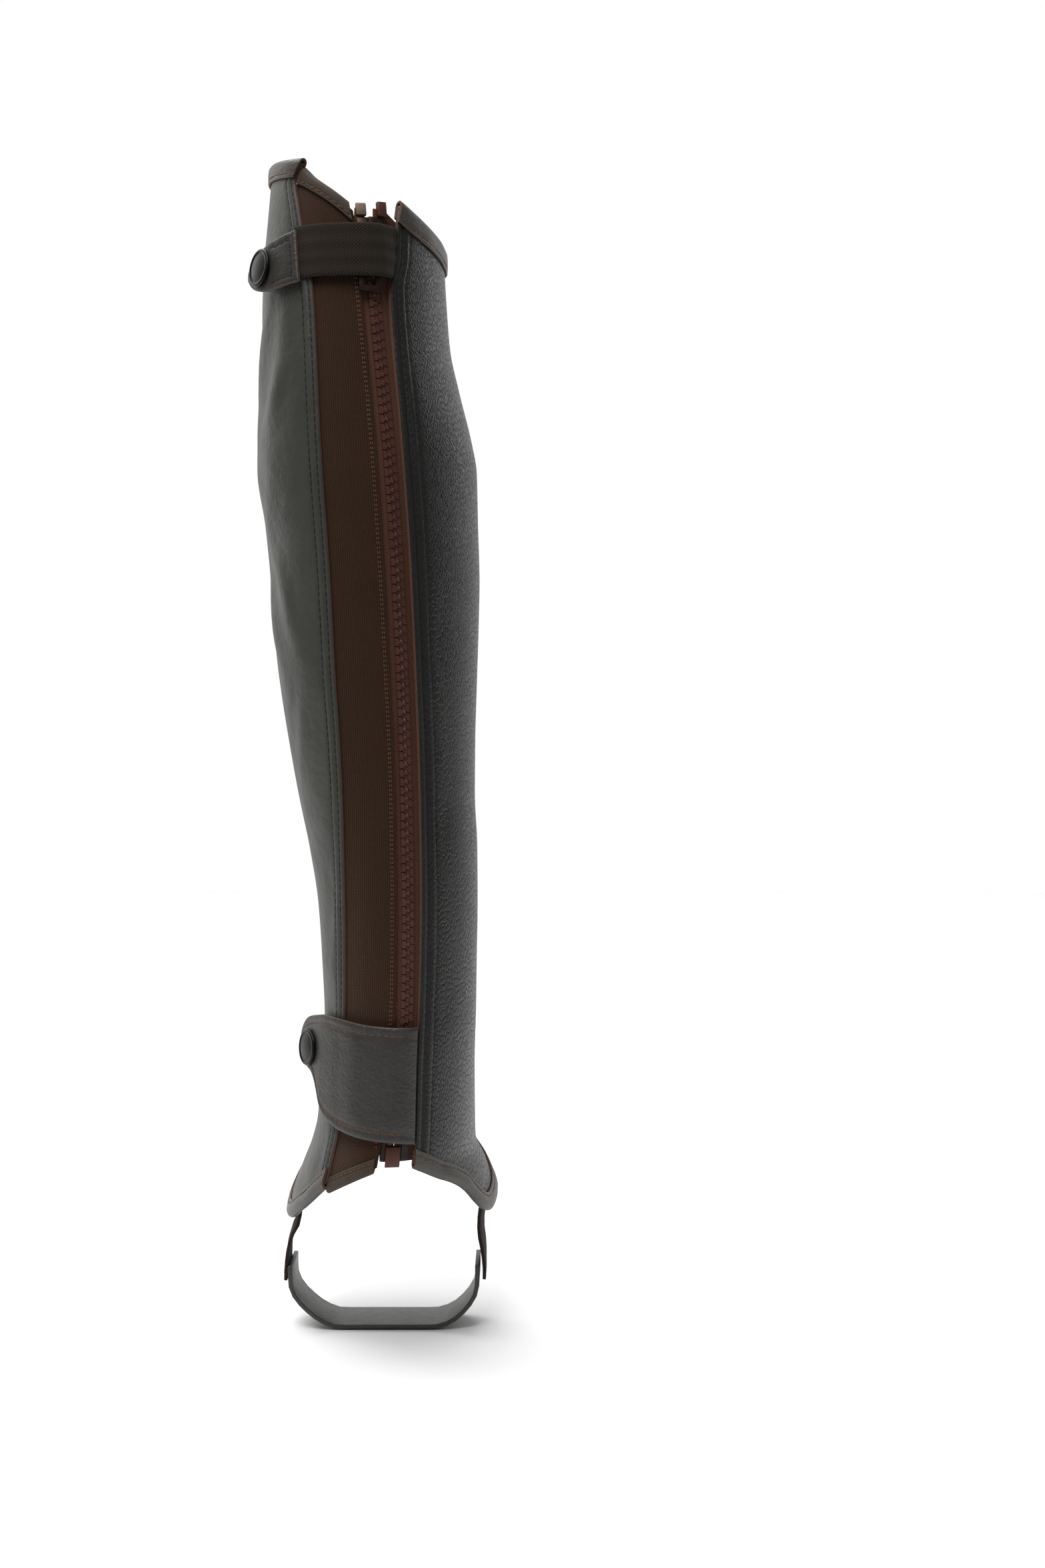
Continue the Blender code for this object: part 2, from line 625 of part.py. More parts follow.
def gusset_band(name, end, way, look):
    """The strip folded over one end of the elastic."""
    def place(across, row, is_outer):
        drop, out = fold(row, is_outer, ELASTIC_FACE, ELASTIC_BACK, BAND_REACH, BAND_REACH_INSIDE)
        height = gusset_edge(end, across) + way * drop * gusset_lean(end, across)
        return skin(gusset_turn(across, height), height, out)
    slab(name, BAND_SHARES, BAND_ROWS, place, look)


def zip_tape(side, stations):
    """One half of the zip's tape, from its inner edge to its lap under the gusset or the leather."""
    girths, bottoms, tops = zip(*stations)
    places = range(len(stations))

    def place(across, up, is_outer):
        low, high = np.interp(across, places, bottoms), np.interp(across, places, tops)
        height = row_height(up, low, high)
        inner_edge = read(TAPE_LINE, side, height)
        girth = np.where(across == 0, inner_edge, np.interp(across, places, girths))
        return skin(turn_at(girth, height), height, TAPE_FACE if is_outer else TAPE_BACK)
    slab(f"zip_tape_{side}", places, level_rows(3, 4), place, "zip_tape")


def zip_chain():
    def place(across, up, is_outer):
        height = row_height(up, CHAIN_END, CHAIN_TOP)
        out = CHAIN_BACK + (CHAIN_THICKNESS if is_outer else 0)
        return skin(turn_at(between(-CHAIN_HALF_WIDTH, CHAIN_HALF_WIDTH, across), height), height, out)
    slab("zip_chain", [0, 1], level_rows(1, 1), place, "zip_plastic")


def small_block(name, girths, heights, layers, look):
    """A small solid that follows the leg's face between two girths, heights and depths."""
    def place(girth, height, out, key):
        return skin(turn_at([girth], [height]), np.array([height]), np.array([out]))[0]
    blocks(name, girths, heights, layers, cells([0], [0], [0]), place, look)


def zip_ends():
    """The stops above the slider, the box at the foot and the film on the tape's ends."""
    for side, girth, low, high, width in STOPS:
        layers = (TAPE_FACE + GAP, TAPE_FACE + GAP + STOP_THICKNESS)
        girths = (girth - width / 2, girth + width / 2)
        small_block(f"zip_top_stop_{side}", girths, (low, high), layers, "zip_plastic")
    middle = (TAPE_FACE + TAPE_BACK) / 2
    layers = (middle - BOX_THICKNESS / 2, middle + BOX_THICKNESS / 2)
    small_block("zip_box", (-BOX_HALF_WIDTH, BOX_HALF_WIDTH), BOX_HEIGHTS, layers, "zip_plastic")
    layers = (TAPE_FACE + GAP, TAPE_FACE + GAP + FILM_THICKNESS)
    inner_edge = BOX_HALF_WIDTH + GAP
    small_block("film_patch_medial", (inner_edge, FILM_REACH), FILM_HEIGHTS, layers, "film")

    def place(share, height, out, key):
        edge = line_girth("elastic", np.array([height])) + 2 * GAP
        girth = between(edge, -inner_edge, share)
        return skin(turn_at(girth, [height]), np.array([height]), np.array([out]))[0]
    rows = [between(*FILM_HEIGHTS, share) for share in shares(2)]
    blocks("film_patch_lateral", (0, 1), rows, layers, cells([0], [0, 1], [0]), place, "film")


def tangent_frame(turn, height, out):
    """Origin and axes (across, up, out) of a flat face laid against the leg."""
    origin = skin([turn], [height], [out])[0]
    across = skin([turn + 1], [height], [out])[0] - skin([turn - 1], [height], [out])[0]
    upward = skin([turn], [height + 2], [out])[0] - skin([turn], [height - 2], [out])[0]
    out_axis = np.cross(across, upward)
    out_axis /= np.linalg.norm(out_axis)
    up_axis = np.array((0.0, 0.0, 1.0)) - out_axis * out_axis[2]
    up_axis /= np.linalg.norm(up_axis)
    return origin, np.cross(up_axis, out_axis), up_axis, out_axis


SLIDER_TURN = float(turn_at([0.0], [TAB_PIVOT_HEIGHT])[0])
PLATE_LOW = TAPE_BACK - GAP
PLATE_HIGH = TAPE_FACE + GAP
SLIDER_LAYERS = (
    PLATE_LOW - PLATE, PLATE_LOW, PLATE_HIGH, PLATE_HIGH + PLATE,
    PLATE_HIGH + PLATE + TAB_THICKNESS + 2 * GAP, PLATE_HIGH + 2 * PLATE + TAB_THICKNESS + 2 * GAP,
)


def zip_slider():
    """Two plates round the tape, joined by a post, with a bail that carries the pull tab."""
    columns = (-1.0, -SLIDER_POST_HALF, SLIDER_POST_HALF, 1.0)

    def place(aside, height, out, key):
        if key[0] in (0, 3):
            aside *= SLIDER_HALF_WIDTHS[key[1]]
        return skin(turn_at([aside], [height]), [height], [out])[0]
    plate_rows = range(5)
    filled = cells(range(3), plate_rows, [0, 2]) | cells([1], range(2, 4), [1])
    filled |= cells([1], [1, 3], [3]) | cells([1], range(1, 4), [4])
    blocks("zip_slider", columns, SLIDER_ROWS, SLIDER_LAYERS, filled, place, "zip_metal")


def zip_pull_tab():
    """The tab hangs from the bail, with an eye round the bail's foot and a window below."""
    origin, across, upward, outward = tangent_frame(SLIDER_TURN, TAB_PIVOT_HEIGHT, 0.0)
    swing = math.radians(TAB_SWING)
    across, upward = (across * math.cos(swing) - upward * math.sin(swing),
                      upward * math.cos(swing) + across * math.sin(swing))
    columns = (-1.0, -TAB_WINDOW_HALF, TAB_WINDOW_HALF, 1.0)
    layers = (SLIDER_LAYERS[3] + GAP, SLIDER_LAYERS[3] + GAP + TAB_THICKNESS)
    eye_half = 2.1

    def place(aside, drop, out, key):
        if key[0] in (0, 3):
            aside *= TAB_HALF_WIDTHS[key[1]]
        elif key[1] > 2:
            aside *= eye_half / TAB_WINDOW_HALF
        return origin + across * aside + upward * drop + outward * out
    filled = cells(range(3), range(5), [0]) - {(1, 1, 0), (1, 3, 0)}
    blocks("zip_pull_tab", columns, TAB_ROWS, layers, filled, place, "zip_metal")


def top_strap():
    def place(across, up, is_outer):
        height = between(*STRAP_HEIGHTS, up)
        end = line_girth("leather", height) - 2 * GAP
        girth = between(STRAP_END, end, across)
        out = read(STRAP_LINE, "out", girth) + (STRAP_WEBBING if is_outer else 0)
        return skin(turn_at(girth, height), height, out)
    slab("top_strap_elastic", shares(12), shares(6), place, "strap_webbing")


def outline_place(source, start):
    """Places on a tab whose outline and rise are listed along its length."""
    def place(along, up, is_outer):
        height = between(read(source, "low", along), read(source, "high", along), up)
        out = read(source, "out", along) + (FLAP_LEATHER if is_outer else 0)
        return skin(turn_at(start(height) - along, height), height, out)
    return place


def strap_tab_start(height):
    return STRAP_TAB_START + 0 * height


def flap_start(height):
    return line_girth("leather", height) - 2 * GAP


def face_frame(place, along, height, source, is_outer):
    """Origin and axes of a tab's face at a place on it."""
    def spot(distance, level):
        low, high = read(source, "low", distance), read(source, "high", distance)
        return place(np.array([distance]), np.array([(level - low) / (high - low)]), is_outer)[0]
    origin = spot(along, height)
    across = spot(along + 2, height) - spot(along - 2, height)
    upward = spot(along, height + 2) - spot(along, height - 2)
    outward = np.cross(upward, across)
    outward /= np.linalg.norm(outward)
    up_axis = upward - outward * upward.dot(outward)
    up_axis /= np.linalg.norm(up_axis)
    return origin, np.cross(up_axis, outward), up_axis, outward


def turned(name, profile, frame, look):
    """A round solid: a profile of radii and heights spun round the frame's outward axis."""
    origin, across, upward, outward = frame
    form = bmesh.new()
    edge = [form.verts.new((radius, 0, level)) for radius, level in profile]
    edges = [form.edges.new(pair) for pair in zip(edge, edge[1:])]
    bmesh.ops.spin(form, geom=edge + edges, axis=(0, 0, 1), cent=(0, 0, 0),
                   angle=2 * math.pi, steps=ROUND_STEPS, use_merge=True)
    bmesh.ops.remove_doubles(form, verts=form.verts[:], dist=0.001)
    open_edges = [edge for edge in form.edges if edge.is_boundary]
    bmesh.ops.holes_fill(form, edges=open_edges)
    axes = Matrix([[axis[row] for axis in (across, upward, outward)] for row in range(3)])
    for vertex in form.verts:
        vertex.co = (axes @ vertex.co + Vector(origin)) * MM
    return keep(form, name, look)


def snapped_tab(name, source, columns, start, snap):
    """A leather tab with its snap: the cap on its face and the stud between it and the leg."""
    snap_name, along, height = snap
    place = outline_place(source, start)
    slab(name, columns, shares(6), place, "smooth_leather")
    origin, across, upward, outward = face_frame(place, along, height, source, True)
    seat = origin + outward * 1.5 * GAP
    turned(f"{snap_name}_cap", CAP_PROFILE, (seat, across, upward, outward), "snap_metal")
    under = face_frame(place, along, height, source, False)
    foot = 3 * GAP - float(read(source, "out", along))
    neck, shoulder = STUD_RADIUS - 1.2, -STUD_CLEAR - 0.6
    profile = ((neck, foot), (neck, shoulder), (STUD_RADIUS, shoulder + 0.2), (STUD_RADIUS, -STUD_CLEAR))
    turned(f"{snap_name}_stud", profile, under, "snap_metal")


def ribbon_place(path, middle_y, half_width, thickness, follow):
    """Places on a strap whose middle line is listed in the front view.

    Where follow names a turn, the listed x is counted from the leg's face there, so the strap's
    upper end lies along the inside of the hem.
    """
    spots = np.array(path, float)
    lengths = np.concatenate(([0], np.cumsum(np.hypot(*np.diff(spots, axis=0).T))))

    def centre(share):
        at = np.asarray(share) * lengths[-1]
        return np.stack([smooth_through(lengths, spots[:, axis], at) for axis in (0, 1)], axis=-1)

    def place(across, up, is_outer):
        aside = between(middle_y - half_width, middle_y + half_width, across)
        here, step = centre(up), 0.004
        way = centre(np.minimum(up + step, 1)) - centre(np.maximum(up - step, 0))
        way /= np.linalg.norm(way, axis=-1, keepdims=True)
        normal = np.stack((way[:, 1], -way[:, 0]), axis=-1)
        offset = thickness / 2 if is_outer else -thickness / 2
        spot = here + normal * offset
        if follow:
            spot[:, 0] += leg_face_x(follow, aside, here[:, 1], middle_y)
        return np.stack((spot[:, 0], aside, spot[:, 1]), axis=-1)
    return place


def leg_face_x(side, aside, height, middle_y):
    """The x of the leg's face at a y and height on one side, levelled out below the hem."""
    level = np.maximum(height, FOOT_HANG_TOP)
    flat = np.clip((FOOT_HANG_TOP - height) / (FOOT_HANG_TOP - FOOT_FLAT_BELOW), 0, 1)
    lateral, medial, back, _, middle = (read(SECTION, name, level) for name in SECTION_COLUMNS[1:])
    reach = 0
    for y, share in ((aside, 1 - flat), (middle_y, flat)):
        inward = np.abs((y - middle) / (middle - back))
        reach = reach + share * (1 - inward**BACK_ROUNDNESS) ** (1 / BACK_ROUNDNESS)
    return (medial + lateral) / 2 + side * (medial - lateral) / 2 * reach


def foot_strap():
    half = FOOT_ELASTIC_WIDTH / 2
    for name, path, side in (("lateral", FOOT_LATERAL, -1), ("medial", FOOT_MEDIAL, 1)):
        place = ribbon_place(path, FOOT_STRAP_Y, half, FOOT_ELASTIC, side)
        slab(f"foot_elastic_{name}", shares(3), shares(10), place, "foot_webbing")
    place = ribbon_place(SOLE_PATH, FOOT_STRAP_Y, SOLE_STRIP_WIDTH / 2, SOLE_STRIP, 0)
    slab("foot_strap_sole", shares(1), shares(26), place, "binding_leather")


def clear_scene():
    for old in list(bpy.data.objects):
        bpy.data.objects.remove(old, do_unlink=True)


def main():
    clear_scene()
    lateral_panel()
    medial_panel()
    lateral_seam, medial_seam = -FRONT_SEAM + SEAM_TURN, FRONT_SEAM - SEAM_TURN
    for name, edge, way in (("top", TOP, -1), ("hem", HEM, 1)):
        edge_binding(f"{name}_binding_lateral", "gusset", LATERAL_COLUMNS, lateral_seam, edge, way)
        edge_binding(f"{name}_binding_medial", "leather", MEDIAL_COLUMNS, medial_seam, edge, way)
    elastic_gusset()
    gusset_band("gusset_top_band", "top", -1, "band_cloth")
    gusset_band("gusset_hem_band", "hem", 1, "band_cloth")
    for side, stations in TAPE_STATIONS.items():
        zip_tape(side, stations)
    zip_chain()
    zip_ends()
    zip_slider()
    zip_pull_tab()
    top_strap()
    snapped_tab("top_strap_tab", STRAP_TAB_LINE, STRAP_TAB_COLUMNS, strap_tab_start, TOP_SNAP)
    snapped_tab("ankle_flap", FLAP_LINE, FLAP_COLUMNS, flap_start, ANKLE_SNAP)
    foot_strap()


main()
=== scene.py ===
"""Looks of a leather half chap for the left leg, built round its packed frame.

Lengths in the tables are millimetres, and meshes and properties are in metres. A place on the leg is
a turn in degrees round it, counted from the back towards the medial side, a height, and a distance
out from the leather's face. A girth is a distance round the leg from the zip, medial side positive.
"""

import math
from collections.abc import Callable
from dataclasses import dataclass

import bmesh
import bpy
import numpy as np
from bpy.props import FloatProperty, FloatVectorProperty, PointerProperty
from mathutils import Matrix, Vector


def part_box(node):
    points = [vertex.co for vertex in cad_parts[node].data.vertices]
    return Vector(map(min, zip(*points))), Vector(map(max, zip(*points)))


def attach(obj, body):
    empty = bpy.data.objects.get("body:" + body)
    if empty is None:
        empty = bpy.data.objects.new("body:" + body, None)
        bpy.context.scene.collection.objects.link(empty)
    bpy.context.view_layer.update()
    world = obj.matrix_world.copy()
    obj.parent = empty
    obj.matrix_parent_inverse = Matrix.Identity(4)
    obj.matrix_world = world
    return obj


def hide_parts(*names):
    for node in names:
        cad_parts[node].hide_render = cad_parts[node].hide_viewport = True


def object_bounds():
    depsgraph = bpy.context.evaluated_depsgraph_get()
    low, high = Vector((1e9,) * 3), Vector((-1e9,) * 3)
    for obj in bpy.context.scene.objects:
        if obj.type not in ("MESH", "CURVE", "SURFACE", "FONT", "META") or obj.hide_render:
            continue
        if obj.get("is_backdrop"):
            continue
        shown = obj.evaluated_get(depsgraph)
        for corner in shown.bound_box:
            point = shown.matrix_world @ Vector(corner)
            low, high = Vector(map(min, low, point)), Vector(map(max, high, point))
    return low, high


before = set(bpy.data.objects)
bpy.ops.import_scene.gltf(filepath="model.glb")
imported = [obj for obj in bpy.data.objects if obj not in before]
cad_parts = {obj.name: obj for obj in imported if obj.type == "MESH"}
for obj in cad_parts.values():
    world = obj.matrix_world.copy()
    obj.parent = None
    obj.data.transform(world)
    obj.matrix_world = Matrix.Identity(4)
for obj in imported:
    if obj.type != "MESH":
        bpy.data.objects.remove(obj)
CAD_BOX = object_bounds()

bl_info = {
    "name": "Half chap",
    "version": (1, 0, 0),
    "blender": (4, 5, 0),
    "location": "View3D > Sidebar > Half chap",
    "description": "Leather half chap with an elastic gusset, a back zip and snapped straps",
    "category": "Mesh",
}

MM = 0.001
GAP = 0.3
LEATHER = 1.4
LEATHER_BACK = -LEATHER
ELASTIC_FACE, ELASTIC_BACK = -1.7, -2.9
TAPE_FACE, TAPE_BACK = -3.2, -4.2
BINDING = 1.0
FLAP_LEATHER = 1.6
WEBBING = 1.2


def table(columns, rows):
    """The columns of a table by name, in rising order of the first."""
    return dict(zip(columns.split(), np.array(sorted(rows), float).T))


# Form of the leg: how far the leather reaches to each side at each height
BACK_ROUNDNESS = 2.15
FRONT_ROUNDNESS = 2.0
SECTION = table("height lateral medial back front middle", (
    (128, -37.0, 33.2, -47.5, 61.5, 0), (118, -37.6, 33.4, -49.5, 62.0, 0),
    (92, -39.9, 34.0, -54.0, 63.0, 0), (76, -41.4, 34.6, -56.2, 63.3, 0),
    (58, -42.4, 35.6, -57.9, 63.5, 0), (40, -42.8, 37.1, -59.4, 63.4, 0),
    (22, -43.4, 41.0, -60.5, 63.0, 0), (0, -44.6, 46.4, -61.0, 62.0, 0),
    (-12, -45.0, 48.4, -61.0, 61.5, 0), (-35, -42.0, 48.9, -59.5, 60.0, 1),
    (-58, -39.6, 49.5, -57.0, 58.5, 2), (-80, -38.9, 49.0, -54.0, 57.0, 3),
    (-104, -36.2, 48.2, -51.0, 56.0, 4), (-127, -32.8, 47.5, -47.5, 55.0, 5),
    (-150, -28.9, 47.3, -44.5, 54.5, 6), (-174, -24.2, 48.3, -41.5, 54.5, 7),
    (-197, -20.9, 48.4, -39.0, 55.0, 8), (-221, -19.5, 48.0, -37.0, 56.0, 9),
    (-245, -18.7, 47.6, -36.0, 57.5, 11), (-268, -20.5, 46.9, -36.0, 61.0, 15),
    (-293, -22.9, 46.8, -37.0, 70.0, 24), (-305, -26.0, 46.9, -38.0, 77.0, 30),
    (-318, -31.1, 51.5, -39.5, 86.0, 36), (-332, -36.0, 55.7, -42.0, 95.0, 40),
    (-345, -38.0, 57.8, -44.0, 102.0, 42),
))

# Seams on the back of the leg: the x of each at each height
BACK_LINE = table("height gusset elastic zip leather", (
    (116, -19.6, -6.4, 4.4, 20.5), (109, -21.6, -4.4, 4.9, 19.9), (102, -25.0, -2.6, 5.5, 19.2),
    (92, -23.3, -0.7, 6.4, 18.2), (84, -21.9, 0.7, 7.1, 17.4), (70, -19.1, 2.4, 8.2, 17.0),
    (58, -16.8, 3.6, 9.2, 15.1), (34, -15.2, 6.0, 11.4, 16.6), (7, -14.1, 8.5, 13.8, 19.0),
    (-20, -12.7, 10.5, 16.0, 21.1), (-47, -11.1, 12.0, 17.7, 22.8), (-73, -9.9, 13.3, 18.8, 23.9),
    (-100, -8.9, 14.4, 19.8, 24.9), (-128, -7.6, 15.4, 20.5, 25.7), (-156, -7.0, 15.9, 20.9, 26.2),
    (-184, -7.0, 15.9, 20.9, 26.3), (-212, -7.3, 15.6, 20.7, 25.9), (-240, -7.8, 14.9, 20.0, 25.0),
    (-265, -8.9, 12.4, 17.6, 24.0), (-292, -11.2, 8.7, 14.4, 23.3), (-300, -12.9, 7.3, 13.8, 22.9),
    (-308, -14.6, 5.9, 13.2, 21.9), (-322, -18.0, 4.0, 12.6, 19.8),
))

# Top and bottom edges of the leather: height at each turn. The panels all but meet at the front
TOP = table("turn height", (
    (-180, 105.5), (-150, 111.5), (-120, 115), (-95, 115.6), (-70, 114.2), (-42, 112), (-24, 110.6),
    (20, 97), (32, 94.4), (45, 90), (55, 87.2), (65, 85), (75, 83.4), (85, 82.2), (98, 82),
    (120, 85.5), (150, 95.5), (180, 105.5),
))
HEM = table("turn height", (
    (-180, -297), (-160, -299.5), (-140, -307), (-125, -317), (-110, -328), (-96, -337),
    (-84, -340.3), (-72, -338.4), (-56, -329.5), (-41, -318), (-30, -311), (0, -303.5), (10, -304),
    (22, -307.2), (35, -311.9), (44.3, -315.4), (53.4, -321.2), (59.3, -327.6), (65, -332.4),
    (72, -334.8), (80, -334.3), (97, -330.5), (110, -323.5), (124, -314), (140, -305.5),
    (160, -299), (180, -297),
))
FRONT_SEAM = 179.98

# Elastic gusset: heights of its slanting ends, from the leather at 0 to the zip at 1
GUSSET_EDGE = table("across top hem", (
    (0, 108.3, -319.0), (0.25, 105.6, -315.9), (0.5, 101.6, -312.8), (0.75, 96.8, -309.8),
    (1, 91.2, -307.0),
))
GUSSET_LAP = 8.0
GUSSET_LAP_ENDS = (-309.5, 101.5)

# Top strap and the two snapped tabs: their outlines along their length, and their rise off the leg
STRAP_HEIGHTS = (61.4, 82.4)
STRAP_END = -32
STRAP_LINE = table("girth out", (
    (-46, 0.5), (-30, 0.55), (-14, 1.0), (-6, 1.6), (-2.5, 2.0), (2.5, 2.0), (5.2, 1.1), (9.5, -0.7),
))
STRAP_TAB = table("along low high out", (
    (0, 59.6, 80.2, 2.1), (7.2, 58.8, 79.0, 2.1), (11, 58.3, 78.3, 2.2), (14.7, 58.0, 77.5, 2.5),
    (18.4, 57.8, 76.5, 2.9), (22, 58.0, 75.2, 3.5), (25.4, 58.8, 73.4, 4.2), (28.7, 60.3, 70.9, 5.0),
    (31.5, 62.8, 68.2, 5.7), (32.6, 64.6, 66.4, 6.0),
))
FLAP = table("along low high out", (
    (0, -295.3, -246.0, -0.9), (5, -294.6, -245.9, 0.2), (20, -293.2, -245.2, 0.3),
    (34.5, -290.7, -243.9, 0.6), (40, -289.0, -243.6, 1.1), (44, -287.5, -243.4, 1.6),
    (47, -285.6, -243.4, 2.1), (49.5, -282.5, -243.5, 2.6), (51.5, -278.0, -243.8, 2.9),
    (54, -272.8, -244.3, 3.5), (57, -269.8, -244.9, 4.3), (60, -268.5, -245.8, 5.3),
    (63, -267.4, -247.3, 6.4), (66, -265.4, -250.3, 7.5), (68.2, -262.2, -254.2, 8.2),
    (69, -259.8, -257.0, 8.4),
))
STRAP_TAB_START = -30.5
TOP_SNAP = (21.6, 67.6)
ANKLE_SNAP = (59.2, -259.8)
CAP_PROFILE = (
    (7.0, 0.0), (7.7, 0.02), (7.85, 0.25), (7.8, 0.6), (7.55, 0.95), (7.1, 1.15), (6.7, 1.18),
    (6.4, 1.08), (6.25, 0.92), (6.0, 0.88), (5.4, 0.98), (3.6, 1.22), (1.8, 1.34), (0.0, 1.38),
)

# Soft creases of the lateral leather: turn and height at both ends, width and rise
CREASES = (
    (-61, 57, -80, 8, 5.5, 1.3),
    (-38, 38, -57, -2, 6.0, 1.2),
    (-64, -38, -40, -92, 6.0, 1.3),
    (-82, -52, -58, -104, 6.0, 1.1),
    (-48, 70, -66, 30, 4.0, 0.5),
    (-50, -10, -70, -50, 4.5, 0.45),
    (-36, -96, -62, -150, 5.0, 0.5),
    (-30, -170, -52, -225, 4.5, 0.35),
)

# Rows of stitches: distance of each from the piece's edge
LATERAL_ROWS = (1.9, 5.4)
MEDIAL_ROWS = (3.9, 7.4)
FOLDED_EDGE = 2.8
FRONT_ROWS = (2.2, 5.2)
BINDING_ROW = 1.7
TAB_INSET = 3.0
FLAP_INSET = 3.6


def smooth_through(knots, values, at):
    """Values at `at` on the smooth curve through the knots, which never overshoots them."""
    steps = np.diff(knots)
    slopes = np.diff(values) / steps
    before, after = slopes[:-1], slopes[1:]
    same_way = before * after > 0
    total = np.where(same_way, before + after, 1.0)
    middle = np.where(same_way, 2 * before * after / total, 0.0)
    tangents = np.concatenate((slopes[:1], middle, slopes[-1:]))
    at = np.clip(np.asarray(at, float), knots[0], knots[-1])
    low = np.clip(np.searchsorted(knots, at, side="right") - 1, 0, len(steps) - 1)
    share = (at - knots[low]) / steps[low]
    rest = 1 - share
    return (
        (1 + 2 * share) * rest**2 * values[low]
        + share**2 * (3 - 2 * share) * values[low + 1]
        + steps[low] * share * rest * (rest * tangents[low] - share * tangents[low + 1])
    )


def read(source, name, at):
    first = next(iter(source))
    return smooth_through(source[first], source[name], at)


def between(start, end, share):
    return start + (end - start) * share


def unit(vectors):
    return vectors / np.linalg.norm(vectors, axis=-1, keepdims=True)


def ring(turn, height):
    """Points of the leather's smooth outer face."""
    lateral, medial, back, front, middle = (read(SECTION, name, height) for name in list(SECTION)[1:])
    sine, cosine = np.sin(np.radians(turn)), np.cos(np.radians(turn))
    behind = cosine > 0
    power = 2 / np.where(behind, BACK_ROUNDNESS, FRONT_ROUNDNESS)
    depth = np.where(behind, middle - back, front - middle)
    x = (medial + lateral) / 2 + (medial - lateral) / 2 * np.sign(sine) * np.abs(sine) ** power
    y = middle - depth * np.sign(cosine) * np.abs(cosine) ** power
    return np.stack((x, y, height + 0 * x), axis=-1)


def crease_rise(turn, height):
    """How far the soft creases lift the leather at a place."""
    rise = np.zeros(np.broadcast(turn, height).shape)
    for start_turn, start, end_turn, end, width, amount in CREASES:
        share = np.clip((height - start) / (end - start), 0, 1)
        aside = (turn - between(start_turn, end_turn, share)) * 0.8 / width
        past = (height - between(start, end, share)) / (2 * width)
        fade = np.exp(-(past**2)) * np.sin(math.pi * np.clip(share, 0.12, 0.88))
        rise += amount * fade * (np.exp(-(aside**2)) - 0.5 * np.exp(-((aside + 1.7) ** 2)))
    return rise


def skin(turn, height, out):
    """Points at a distance out from the leather's face, along its normal."""
    turn, height, out = np.broadcast_arrays(*(np.asarray(v, float) for v in (turn, height, out)))
    along = ring(turn + 0.4, height) - ring(turn - 0.4, height)
    upward = ring(turn, height + 1.0) - ring(turn, height - 1.0)
    lift = (out + crease_rise(turn, height))[..., None]
    return ring(turn, height) + unit(np.cross(along, upward)) * lift


def line_turn(name, height):
    """Turn of one of the back lines at a height."""
    lateral, medial = read(SECTION, "lateral", height), read(SECTION, "medial", height)
    aside = (read(BACK_LINE, name, height) - (medial + lateral) / 2) / ((medial - lateral) / 2)
    return np.degrees(np.arcsin(np.sign(aside) * np.abs(aside) ** (BACK_ROUNDNESS / 2)))


# Distances round the leg at every turn and height of a lattice, and the turns at every distance
LATTICE_HEIGHTS = np.arange(-350.0, 131.0, 2.0)
LATTICE_TURNS = np.arange(-180.0, 181.0, 1.0)
LATTICE_GIRTHS = np.arange(-240.0, 241.0, 1.0)


def measure_girths():
    levels, turns = np.meshgrid(LATTICE_HEIGHTS, LATTICE_TURNS, indexing="ij")
    steps = np.linalg.norm(np.diff(ring(turns, levels), axis=1), axis=-1)
    lengths = np.concatenate((np.zeros((len(levels), 1)), np.cumsum(steps, axis=1)), axis=1)
    zips = line_turn("zip", LATTICE_HEIGHTS)
    at_zip = [np.interp(turn, LATTICE_TURNS, row) for turn, row in zip(zips, lengths)]
    return lengths - np.array(at_zip)[:, None]


GIRTHS = measure_girths()
TURNS = np.array([np.interp(LATTICE_GIRTHS, row, LATTICE_TURNS) for row in GIRTHS])


def lattice_value(lattice, places, at, height):
    """The lattice's value between its rows of heights and its even columns of places."""
    at, height = np.broadcast_arrays(np.asarray(at, float), np.asarray(height, float))
    row = np.clip((height - LATTICE_HEIGHTS[0]) / 2.0, 0, len(LATTICE_HEIGHTS) - 1.001)
    column = np.clip(at - places[0], 0, len(places) - 1.001)
    low, left = row.astype(int), column.astype(int)
    lower = between(lattice[low, left], lattice[low, left + 1], column - left)
    upper = between(lattice[low + 1, left], lattice[low + 1, left + 1], column - left)
    return between(lower, upper, row - low)


def turn_at(girth, height):
    return lattice_value(TURNS, LATTICE_GIRTHS, girth, height)


def girth_at(turn, height):
    return lattice_value(GIRTHS, LATTICE_TURNS, turn, height)


def line_girth(name, height):
    return girth_at(line_turn(name, height), height)


def lean(edge, turn):
    """How much longer a strip's reach is straight up than square to a slanting edge."""
    height = read(edge, "height", turn)
    apart = np.linalg.norm(ring(turn + 1.0, height) - ring(turn - 1.0, height), axis=-1)
    slope = (read(edge, "height", turn + 1.0) - read(edge, "height", turn - 1.0)) / apart
    return np.sqrt(1 + slope**2)


def linear(text):
    """Linear colour of an sRGB hex value."""
    parts = [int(text[place:place + 2], 16) / 255 for place in (1, 3, 5)]
    return [part / 12.92 if part <= 0.04045 else ((part + 0.055) / 1.055) ** 2.4 for part in parts]


def tone(text, what):
    return FloatVectorProperty(
        name=what, description=f"Colour of the {what.lower()}", subtype="COLOR", size=3, min=0, max=1,
        default=linear(text),
    )


def length(millimetres, what, words):
    return FloatProperty(
        name=what, description=words, subtype="DISTANCE", unit="LENGTH", default=millimetres * MM, min=0,
        precision=5,
    )


